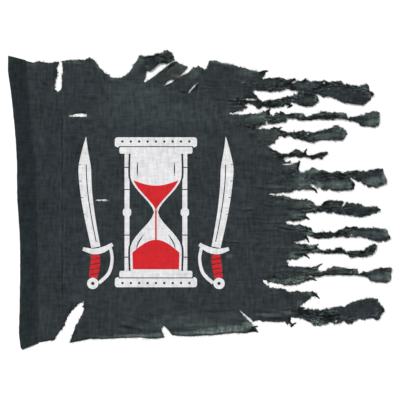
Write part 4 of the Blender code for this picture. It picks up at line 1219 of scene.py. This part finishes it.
def weave_group():
    """Threads both ways, their slubs and drifts, and the gaps between them."""
    group, w, given, out = new_group(
        "gauze_weave",
        [("Flat Cut", "NodeSocketVector", None), ("Threads Per Metre", "NodeSocketFloat", 720.0),
         ("Open", "NodeSocketFloat", 0.2)],
        [("Streaks", "NodeSocketFloat"), ("Height", "NodeSocketFloat"), ("Gaps", "NodeSocketFloat")])
    cut = given["Flat Cut"]
    laid = w.drifted(cut, 55.0, 1.0, 0.0022)
    ridges = []
    for part in w.node("ShaderNodeSeparateXYZ", {0: laid}).outputs[:2]:
        turns = w.times(w.times(part, given["Threads Per Metre"]), 2 * math.pi)
        ridges.append(w.ranged(w.math("SINE", turns), -1.0, 1.0))
    threads = w.math("MAXIMUM", *ridges)
    upright, level = w.noise(laid, 150.0, 28.0, 3.0), w.noise(laid, 30.0, 150.0, 3.0)
    cloudy, slow = w.noise(cut, 70.0, 80.0, 3.0), w.noise(cut, 13.0, 11.0)
    streaks = w.plus(w.times(upright, 0.36), w.times(level, 0.26), w.times(cloudy, 0.22),
                     w.times(slow, 0.16))
    w.feed(out["Streaks"], w.ranged(streaks, 0.36, 0.64))
    slubs = w.plus(w.times(upright, 1.4), w.times(level, 1.4))
    w.feed(out["Height"], w.plus(w.times(threads, 0.5), slubs))
    limit = w.ranged(given["Open"], 0.0, 1.0, 0.75, 0.35)
    w.feed(out["Gaps"], w.ranged(w.math("SUBTRACT", w.math("SUBTRACT", 1.0, threads), limit), 0.0, 0.15))
    return group


def crumple_group():
    """Painted light and shade of crumpled gauze: lit and shaded small facets and painted shade in
    pressed lines, longer along the flag than across, and a bump height from them.
    """
    group, w, given, out = new_group(
        "torn_crumple",
        [("Flat Cut", "NodeSocketVector", None), ("Amount", "NodeSocketFloat", 0.0)],
        [("Shade", "NodeSocketFloat"), ("Height", "NodeSocketFloat")])
    cut = given["Flat Cut"]
    laid = w.drifted(cut, 40.0, 2.0, 0.010)
    # facets paler and darker as painted light and shade, pressed lines dark as painted shade
    facets = w.ranged(w.noise(laid, 95.0, 260.0, 4.0), 0.34, 0.66, 0.20, 2.28)
    lines = []
    for x, y, width in ((52.0, 190.0, 0.028), (100.0, 300.0, 0.040)):
        away = w.math("ABSOLUTE", w.math("SUBTRACT", w.noise(laid, x, y, 1.0), 0.5))
        lines.append(w.ranged(away, 0.0, width, 0.10, 1.0))
    pressed = w.times(*lines)
    grain = w.ranged(w.noise(cut, 260.0, 330.0, 1.0), 0.3, 0.7, 0.5, 1.5)
    shade = w.math("SUBTRACT", w.times(w.times(facets, pressed), grain), 1.0)
    w.feed(out["Shade"], w.math("MULTIPLY_ADD", shade, given["Amount"], 1.0))
    w.feed(out["Height"], w.times(w.plus(facets, pressed), given["Amount"]))
    return group


WEAVE = weave_group()
CRUMPLED = crumple_group()
print("weave group", [item.name for item in WEAVE.interface.items_tree])

# %% [markdown]
# ## Materials
# The same black cotton is seen in three states: the single faded cloth, the double cloth of the
# sleeve and the loose threads. The cloth's material reads the stored values: where the weave is open
# it is paler and lets a little of the surface show through, where the cloth is doubled or bunched it
# is nearly black, and the same two values carry painted highlights and painted shade. The crumple
# group adds painted light and shade on the facets of the tatters. The inks sit on the same weave, so
# its relief and small worn spots break them up.

# %% Build the materials
BLACK = (0.0283, 0.0309, 0.0337, 1.0)      # faded black, seen flat
DENSE_AND_SHADE = (0.0036, 0.0050, 0.0048, 1.0)      # doubled or bunched cloth, and painted shade in creases, troughs and under edges
SHEER_AND_HIGHLIGHT = (0.120, 0.144, 0.134, 1.0)         # threads drawn apart, and the painted highlights
COOL = (0.90, 1.00, 1.10, 1.0)
WARM = (0.95, 1.07, 0.95, 1.0)
BROWN = (1.16, 1.03, 0.90, 1.0)            # weathered to brown, past warm


def new_material(name, roughness, sheen, gloss=0.2):
    """An empty material with a Principled BSDF, and its wires."""
    material = bpy.data.materials.new(name)
    material.use_nodes = True
    wires = Wires(material.node_tree)
    shader = material.node_tree.nodes["Principled BSDF"]
    for key, value in (("Roughness", roughness), ("Sheen Weight", sheen), ("Sheen Roughness", 0.5),
                       ("Specular IOR Level", gloss)):
        shader.inputs[key].default_value = value
    return material, wires, shader


def attribute(w, name):
    """A value stored on the mesh."""
    return w.node("ShaderNodeAttribute", attribute_name=name).outputs["Fac"]


def woven(w, open_value):
    """The shared weave on the piece's own flat cut."""
    cut = w.put("ShaderNodeUVMap", uv_map="flat_cut")
    return w.node("ShaderNodeGroup", {"Flat Cut": cut, "Open": open_value}, node_tree=WEAVE).outputs, cut


def relief(w, shader, height, strength, distance):
    """Fine threads and creases as a bump on the surface."""
    inputs = {"Height": height, "Strength": strength, "Distance": distance}
    w.feed(shader.inputs["Normal"], w.put("ShaderNodeBump", inputs))


def tinted(w, colour, factor):
    """A colour multiplied by a tint: cool at 0, warm at 1 and brown at 2."""
    hue = w.mix(w.math("SUBTRACT", factor, 1.0, clamp=True), w.mix(factor, COOL, WARM), BROWN)
    return w.mix(1.0, colour, hue, "MULTIPLY")


def gauze_material(name, flat_colour):
    """Gauze that is paler where it is open and nearly black where it is doubled or bunched. The stored
    values also carry painted highlights and painted shade, and the crumple group paints lit and
    shaded facets.
    """
    material, w, shader = new_material(name, 0.92, 0.02, 0.08)
    open_and_lit, darkening = attribute(w, "open_weave_and_highlight"), attribute(w, "density_and_shade")
    weave, cut = woven(w, open_and_lit)
    # open weave and the painted highlights both draw the colour towards the pale gauze
    colour = w.mix(w.ranged(open_and_lit, 0.0, 0.75), flat_colour, SHEER_AND_HIGHLIGHT)
    # doubled cloth and the painted shade both draw the colour towards the darkest gauze
    colour = w.mix(w.times(darkening, 0.92), colour, DENSE_AND_SHADE)
    colour = tinted(w, colour, attribute(w, "tint"))
    folds = w.node("ShaderNodeGroup", {"Flat Cut": cut, "Amount": attribute(w, "crumpled")},
                   node_tree=CRUMPLED).outputs
    # the weave's streaks times the painted light and shade of the crumples
    streaks_and_crumple_shade = w.times(w.ranged(weave["Streaks"], 0.0, 1.0, 0.50, 1.50), folds["Shade"])
    w.feed(shader.inputs["Base Color"], w.shaded(colour, streaks_and_crumple_shade))
    w.feed(shader.inputs["Roughness"], w.ranged(weave["Streaks"], 0.0, 1.0, 0.84, 0.97))
    through = w.times(open_and_lit, w.ranged(weave["Streaks"], 0.0, 1.0, 0.05, 0.68))
    through = w.plus(through, w.times(weave["Gaps"], w.times(open_and_lit, 0.35)))
    w.feed(shader.inputs["Alpha"], w.math("SUBTRACT", 1.0, through, clamp=True))
    relief(w, shader, w.plus(weave["Height"], folds["Height"]), 0.55, 0.0007)
    return material


def ink_material(name, colour, worn_colour, worn_share):
    """Opaque ink on the weave, rubbed off a little on the highest threads."""
    material, w, shader = new_material(name, 0.8, 0.05)
    weave, cut = woven(w, 0.1)
    speckle = w.noise(cut, 420.0, 460.0, 3.0)
    rubbed = w.ranged(w.plus(speckle, w.times(weave["Streaks"], 0.2)), 0.66, 0.84)
    inked = w.shaded(colour, w.ranged(weave["Streaks"], 0.0, 1.0, 0.72, 1.22))
    w.feed(shader.inputs["Base Color"], w.mix(w.times(rubbed, worn_share), inked, worn_colour))
    w.feed(shader.inputs["Roughness"], w.ranged(weave["Streaks"], 0.0, 1.0, 0.7, 0.86))
    relief(w, shader, weave["Height"], 0.4, 0.0004)
    return material


faded_gauze = gauze_material("faded_black_gauze", BLACK)
white_print = ink_material("white_print_ink", (0.675, 0.675, 0.685, 1), (0.22, 0.23, 0.25, 1), 0.6)
red_print = ink_material("red_print_ink", (0.55, 0.0102, 0.0162, 1), (0.24, 0.012, 0.015, 1), 0.7)
for piece, finish in ((flag_gauze, faded_gauze), (white_ink, white_print), (red_ink, red_print)):
    piece.data.materials.append(finish)
print("materials", [m.name for m in bpy.data.materials])

# %% [markdown]
# ## The pole sleeve
# The hoist edge is folded over to the front and stitched down, which leaves a flat tube for the pole.
# It is one strip of cloth, so it is made as one surface: from the foot, under the tube to the fold at
# the hoist edge, and back over the top to the foot again. It is double cloth, so it looks darker, and
# years on a pole have left soft puckers across it, whose hollows get painted shade.

# %% Build the sleeve
SLEEVE_CROWN = 3.528     # height of the sleeve's top where it stands highest
SLEEVE_CROWN_AT = 0.42   # where that is, as a share of the width from the fold
SLEEVE_ROWS = 300        # rows of points along the sleeve
SLEEVE_ACROSS = 26       # points across its top
# The worn fold strays from its line by this much: y, shift to the fly
FOLD_SHIFTS = ((392, -0.3), (262, -0.8), (130, -0.4), (0, -1.1), (-70, 0), (-132, 1.1), (-200, 0.2),
               (-264, -0.9), (-336, -0.7), (-388, -0.5), (-392, 0.8), (-395, 3.4))
HEM_HEIGHT = 1.55        # the top cloth where it is stitched down on the single cloth
HEM_WIDTH = 0.13         # the stitched hem, as a share of the sleeve's width
FOLD_TOP = 2.3           # height of the turn at the hoist edge
FOLD_IN = 0.6            # the middle of the cloth lies this far inside the fold line
FOLD_WANDER = 0.5        # how far the worn fold strays
PUCKER = 0.8             # height of the puckers
HEM_STEP = 0.25          # thickness of the turned-in hem, and its unevenness
# The underside from the foot to the turn: share of the width from the fold, height
UNDERSIDE = ((0.96, 0.45), (0.75, 0.4), (0.5, 0.4), (0.25, 0.4), (0.06, 0.45), (0.012, 0.8), (0, 1.5),
             (0.012, FOLD_TOP))


def sleeve_lines():
    """Fold and foot of the sleeve at each row, bottom mouth first: x, y of both."""
    table, shifts = np.array(SLEEVE[::-1], float), np.array(FOLD_SHIFTS[::-1])
    y = np.linspace(SLEEVE[-1][0], SLEEVE[0][0], SLEEVE_ROWS)
    fold, foot_y, foot = (np.interp(y, table[:, 0], table[:, column]) for column in (1, 2, 3))
    wander = np.array([FOLD_WANDER * bump(at, 0.5, 14, 1, 0) for at in y])
    fold = fold + wander + FOLD_IN + np.interp(y, shifts[:, 0], shifts[:, 1])
    return zip(fold, y, foot, foot_y)


def top_point(x, y, share, row_y, crown):
    """Height and tones of the top cloth at a place, a share of the width away from the fold."""
    hem = share >= 1 - HEM_WIDTH
    bent = math.log(0.5) / math.log(SLEEVE_CROWN_AT)
    arch = 0.0 if hem else math.sin(math.pi * min(share / (1 - HEM_WIDTH), 1) ** bent) ** 0.8
    rest = FOLD_TOP + (HEM_HEIGHT - FOLD_TOP) * share
    pucker = bump(x, y, 26, 9, 3.1) + 0.6 * bump(x, y, 9, 30, 7)
    free = math.sin(math.pi * min(share * 1.05, 1))
    z = rest + (crown - rest) * arch + PUCKER * pucker * free
    if hem:
        z += HEM_STEP * bump(x, y, 5, 5, 1) + HEM_STEP
    covered = smooth((share - 0.04) / 0.24) * smooth((1.10 - share) / 0.26)
    mouth, low = smooth((row_y - 340) / 30), smooth((-200 - row_y) / 120)
    smudge = bump(x, y, 12, 17, 2.5) + 0.6 * bump(x, y, 5, 7, 8)
    # darker where the cloth is doubled and at random, with painted shade in the hollows of the puckers
    darkening = 0.22 + 0.16 * covered + 0.2 * max(0.0, -pucker) * free + 0.08 * smudge - 0.07 * low
    return z, (0.0, min(max(darkening, 0.0), 1.0), 0.30 + 0.5 * mouth + 0.3 * low)


def build_sleeve():
    """The sleeve as one strip that runs from its foot round the fold and back."""
    points, cut, tones = [], [], []
    for x0, y0, x1, y1 in sleeve_lines():
        width = math.hypot(x1 - x0, y1 - y0)
        crown = SLEEVE_CROWN * (0.80 + 0.20 * bump(y0, 1.3, 70, 1, 0))
        for share, z in UNDERSIDE:
            points.append((x0 + (x1 - x0) * share, y0 + (y1 - y0) * share, z))
            cut.append((x0 - width * share, y0))
            tones.append((0.0, 0.15, 0.4))
        for k in range(1, SLEEVE_ACROSS + 1):
            share = 0.012 + 0.988 * k / SLEEVE_ACROSS
            x, y = x0 + (x1 - x0) * share, y0 + (y1 - y0) * share
            z, tone = top_point(x, y, share, y0, crown)
            points.append((x, y, z))
            cut.append((x0 + width * share, y0))
            tones.append(tone)
    across = len(UNDERSIDE) + SLEEVE_ACROSS
    faces = [(a, a + 1, a + across + 1, a + across) for row in range(SLEEVE_ROWS - 1)
             for a in range(row * across, (row + 1) * across - 1)]
    return sheet("sleeve_gauze", np.array(points) + np.array([SHIFT[0], SHIFT[1], 0]), faces, np.array(cut),
                 dict(zip(("open_weave_and_highlight", "density_and_shade", "tint"), np.array(tones).T)), CLOTH_THICK)


sleeve_gauze = build_sleeve()
DOUBLE_BLACK = (0.0226, 0.0276, 0.0308, 1.0)   # faded black over a second layer
sleeve_gauze.data.materials.append(gauze_material("double_black_gauze", DOUBLE_BLACK))
print("sleeve", len(sleeve_gauze.data.vertices), "points")

# %% [markdown]
# ## Stitches along the sleeve
# The sleeve is sewn down with two rows of plain stitches in black thread. They all have one shape and
# follow one path, so a geometry node tree lays them: it walks the path in even steps and sets a small
# rounded stitch on each, turned along the path. The path runs on the hem of the sleeve.

# %% Sew the sleeve down
STITCH_STEP = 4.4        # from one stitch to the next
STITCH_LONG = 3.0        # length of a stitch
STITCH_THICK = 0.5       # thickness of its thread
STITCH_COLUMNS = (-2, -4)   # columns of the sleeve's top, counted from the foot
STITCH_RISE = 0.3        # the middle of the thread above the middle of the cloth


def geometry_group(name, inputs):
    """A geometry node tree with these named inputs, and its wires."""
    given = [("Geometry", "NodeSocketGeometry", None)] + inputs + [("Material", "NodeSocketMaterial", None)]
    tree, w, into, out = new_group(name, given, [("Geometry", "NodeSocketGeometry")], "GeometryNodeTree")
    tree.is_modifier = True
    return tree, w, into, out


def finish_tree(w, given, out, geometry):
    """Ends a tree: its instances made real, in its material."""
    real = w.put("GeometryNodeRealizeInstances", {"Geometry": geometry})
    dressed = w.put("GeometryNodeSetMaterial", {"Geometry": real, "Material": given["Material"]})
    w.feed(out["Geometry"], dressed)


def set_along(w, points, thing, way, size):
    """The thing on each point, turned along the way and scaled by the three sizes."""
    turn = w.put("FunctionNodeAlignRotationToVector", {"Vector": way}, axis="X")
    scale = w.put("ShaderNodeCombineXYZ", dict(enumerate(size)))
    return w.put("GeometryNodeInstanceOnPoints", {"Points": points, "Instance": thing, "Rotation": turn,
                                                  "Scale": scale})


def stitch_tree():
    """Stitches in even steps along each line of the mesh."""
    tree, w, given, out = geometry_group(
        "sleeve_stitches",
        [("Step", "NodeSocketFloat", 0.004), ("Length", "NodeSocketFloat", 0.003),
         ("Thickness", "NodeSocketFloat", 0.0005)])
    line = w.put("GeometryNodeMeshToCurve", {"Mesh": given["Geometry"]})
    steps = w.put("GeometryNodeResampleCurve", {"Curve": line, "Length": given["Step"]}, mode="LENGTH")
    bead = w.put("GeometryNodeMeshUVSphere", {"Segments": 6, "Rings": 4, "Radius": 0.5})
    finish_tree(w, given, out, set_along(w, steps, bead, w.put("GeometryNodeInputTangent"),
                                         (given["Length"], given["Thickness"], given["Thickness"])))
    return tree


def grown(name, mesh, tree, values):
    """A piece grown on a mesh by a geometry node tree, as a plain mesh of loose thread."""
    piece = placed(name, mesh)
    grower = piece.modifiers.new(tree.name, "NODES")
    grower.node_group = tree
    values["Material"] = loose_thread
    for item in tree.interface.items_tree:
        if item.in_out == "INPUT" and item.name in values:
            grower[item.identifier] = values[item.name]
    graph = bpy.context.evaluated_depsgraph_get()
    plain = bpy.data.meshes.new_from_object(piece.evaluated_get(graph))
    piece.modifiers.remove(grower)
    piece.data = plain
    plain.name = name
    plain.shade_smooth()
    print(name, len(plain.vertices), "points", len(plain.polygons), "faces")
    return piece


THREAD_BLACK = (0.016, 0.020, 0.020, 1)
THREAD_GREY = (0.060, 0.074, 0.070, 1)


def thread_material():
    """Loose black thread, greyer where it has weathered."""
    material, w, shader = new_material("loose_black_thread", 0.95, 0.1)
    place = w.node("ShaderNodeTexCoord").outputs["Object"]
    faded = w.ranged(w.noise(place, 90.0, 90.0), 0.35, 0.7)
    w.feed(shader.inputs["Base Color"], w.mix(faded, THREAD_BLACK, THREAD_GREY))
    return material


loose_thread = thread_material()
hem_lines = bpy.data.meshes.new("hem_lines")
across = len(sleeve_gauze.data.vertices) // SLEEVE_ROWS
hem_points = [sleeve_gauze.data.vertices[(row + 1) * across + column].co + Vector((0, 0, STITCH_RISE * MM))
              for column in STITCH_COLUMNS for row in range(3, SLEEVE_ROWS - 3)]
half = len(hem_points) // 2
hem_lines.from_pydata(hem_points, [(k - 1, k) for k in range(1, 2 * half) if k != half], [])
sleeve_stitches = grown("sleeve_stitches", hem_lines, stitch_tree(),
                        {"Step": STITCH_STEP * MM, "Length": STITCH_LONG * MM,
                         "Thickness": STITCH_THICK * MM})

# %% [markdown]
# ## Frayed threads
# Wherever the gauze is torn, the cut threads stand out of the edge, most of them only a few
# millimetres, some in longer curls. The torn border gives the places and the way out, a seeded
# generator gives each thread its length and bend, and a geometry node tree makes a thin bent thread of
# three sides at each place, with a little waver towards its free end.

# %% Let the torn border fray
FRAY_SHARE = 0.85        # how many steps of the border carry a thread
FRAY_LENGTH = (1.8, 5.2)   # length of most threads
CURL_SHARE = 0.07        # how many threads are longer curls
CURL_LENGTH = (6.0, 11.0)
FRAY_LEAN = 0.45         # how far threads lean off the way out, in radians
FRAY_BEND = 1.6          # how strongly the most bent ones bend
FRAY_DROP = 0.06         # and all sink a little towards the surface
FRAY_THICK = 0.42
FRAY_WAVER = 3.0         # how far the free end of a thread wavers


def fray_points():
    """Points on the torn border that carry the way out, the length and the bend of a thread."""
    fray_rng = random.Random(23)
    places, ways, reaches, bends = [], [], [], []
    for a, b in BORDER:
        x0, y0, x1, y1 = *flat_xy[a], *flat_xy[b]
        length = math.hypot(x1 - x0, y1 - y0)
        frays = fray_rng.random() < FRAY_SHARE * length / EDGE_STEP
        share, lean = fray_rng.random(), fray_rng.gauss(0, FRAY_LEAN)
        curls = fray_rng.random() < CURL_SHARE
        reach = fray_rng.uniform(*(CURL_LENGTH if curls else FRAY_LENGTH))
        bend = fray_rng.uniform(-FRAY_BEND, FRAY_BEND)
        if not frays or length == 0:
            continue
        out = Vector(((y1 - y0) / length, -(x1 - x0) / length, 0))
        out.rotate(Euler((0, 0, lean)))
        height = height_mm[a] + share * (height_mm[b] - height_mm[a])
        places.append((x0 + share * (x1 - x0) + SHIFT[0], y0 + share * (y1 - y0) + SHIFT[1], height))
        ways.append((out.x, out.y, -FRAY_DROP))
        reaches.append(reach * MM)
        bends.append(bend)
    mesh = bpy.data.meshes.new("torn_border")
    mesh.from_pydata((np.array(places) * MM).tolist(), [], [])
    store(mesh, {"way": np.array(ways).ravel()}, "FLOAT_VECTOR")
    store(mesh, {"reach": reaches, "bend": bends})
    return mesh


def fray_tree():
    """A thin bent thread at each point."""
    tree, w, given, out = geometry_group("frayed_threads", [("Thickness", "NodeSocketFloat", 0.0003),
                                                            ("Waver", "NodeSocketFloat", 0.002)])
    bow = w.put("GeometryNodeCurveQuadraticBezier",
                {"Resolution": 4, "Start": (-0.25, 0, 0), "Middle": (0.5, 0.25, 0.1), "End": (1, 0, 0)})
    way, reach, bend = (w.put("GeometryNodeInputNamedAttribute", {"Name": name}, data_type=kind)
                        for name, kind in (("way", "FLOAT_VECTOR"), ("reach", "FLOAT"), ("bend", "FLOAT")))
    laid = set_along(w, given["Geometry"], bow, way, (reach, w.times(reach, bend), reach))
    threads = w.put("GeometryNodeRealizeInstances", {"Geometry": laid})
    place = w.put("GeometryNodeInputPosition")
    unrest = w.node("ShaderNodeTexNoise", {"Vector": place, "Scale": 260.0, "Detail": 1.0}).outputs["Color"]
    unrest = w.vector("SUBTRACT", {0: unrest, 1: (0.5, 0.5, 0.45)})
    unrest = w.vector("MULTIPLY", {0: unrest, 1: (1.0, 1.0, 0.3)})
    free = w.times(w.node("GeometryNodeSplineParameter").outputs["Factor"], given["Waver"])
    unrest = w.vector("SCALE", {0: unrest, "Scale": free})
    threads = w.put("GeometryNodeSetPosition", {"Geometry": threads, "Offset": unrest})
    x, y, z = w.node("ShaderNodeSeparateXYZ", {0: w.put("GeometryNodeInputPosition")}).outputs
    above = w.put("ShaderNodeCombineXYZ", {0: x, 1: y, 2: w.math("MAXIMUM", z, 0.0004)})
    threads = w.put("GeometryNodeSetPosition", {"Geometry": threads, "Position": above})
    section = w.put("GeometryNodeCurvePrimitiveCircle",
                    {"Resolution": 3, "Radius": w.times(given["Thickness"], 0.5)})
    finish_tree(w, given, out, w.put("GeometryNodeCurveToMesh", {"Curve": threads, "Profile Curve": section}))
    return tree


frayed_threads = grown("frayed_threads", fray_points(), fray_tree(),
                       {"Thickness": FRAY_THICK * MM, "Waver": FRAY_WAVER * MM})

# %% [markdown]
# ## The surface, the light and the camera
# The flag lies on a plain white surface and is seen from straight above. A large soft light hangs
# over it towards the top of the flag, so the folds show as soft shades, and the white surroundings
# fill the rest.

# %% Floor, lights and camera
VIEW_MIDDLE = (0.0017, -0.0016)   # the point on the surface that the camera looks at, in metres
VIEW_WIDTH = 1.052       # how wide the view is there
LENS, SENSOR = 85.0, 36.0
AMBIENT = 0.42           # how bright the white surroundings are


def build_floor(half=3.0):
    """A plain square surface at height 0."""
    mesh = bpy.data.meshes.new("floor")
    mesh.from_pydata([(-half, -half, 0), (half, -half, 0), (half, half, 0), (-half, half, 0)], [],
                     [(0, 1, 2, 3)])
    material, _, shader = new_material("white_surface", 0.85, 0.0)
    shader.inputs["Base Color"].default_value = (0.93, 0.93, 0.93, 1.0)
    mesh.materials.append(material)
    return placed("floor", mesh)


def soft_sun(name, place, strength, softness):
    """A large far light that shines from a place towards the flag, so its light is even."""
    data = bpy.data.lights.new(name, "SUN")
    data.energy, data.angle = strength, math.radians(softness)
    light = placed(name, data)
    light.location = place
    light.rotation_euler = (-Vector(place)).to_track_quat("-Z", "Y").to_euler()


build_floor()
soft_sun("key_light", (-1.0, 1.7, 1.75), 3.2, 24)
soft_sun("fill_light", (1.6, -1.0, 2.4), 0.5, 60)
scene = bpy.context.scene
scene.world = bpy.data.worlds.new("white_room")
scene.world.use_nodes = True
surroundings = scene.world.node_tree.nodes["Background"].inputs
surroundings["Color"].default_value = (1.0, 1.0, 1.0, 1.0)
surroundings["Strength"].default_value = AMBIENT
scene.view_settings.view_transform = "Standard"
camera = placed("camera", bpy.data.cameras.new("camera"))
camera.data.lens, camera.data.sensor_width = LENS, SENSOR
camera.location = (*VIEW_MIDDLE, VIEW_WIDTH * LENS / SENSOR)
scene.camera = camera
print("camera", round(camera.location.z, 3), "m above the flag")

# %% [markdown]
# ## Ride on the body and replace the CAD solids
# Every piece rides on the part's one body. The two sheets stand for the two CAD solids, which are
# hidden. The table also lists a finish name for each piece, which nothing here reads.

# %% Ride and replace
PIECES = {
    flag_gauze: "faded_gauze",
    sleeve_gauze: "double_gauze",
    white_ink: "white_print",
    red_ink: "red_print",
    sleeve_stitches: "loose_thread",
    frayed_threads: "loose_thread",
}
for piece, finish in PIECES.items():
    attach(piece, "root")
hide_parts("flag_cloth")
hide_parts("pole_sleeve")
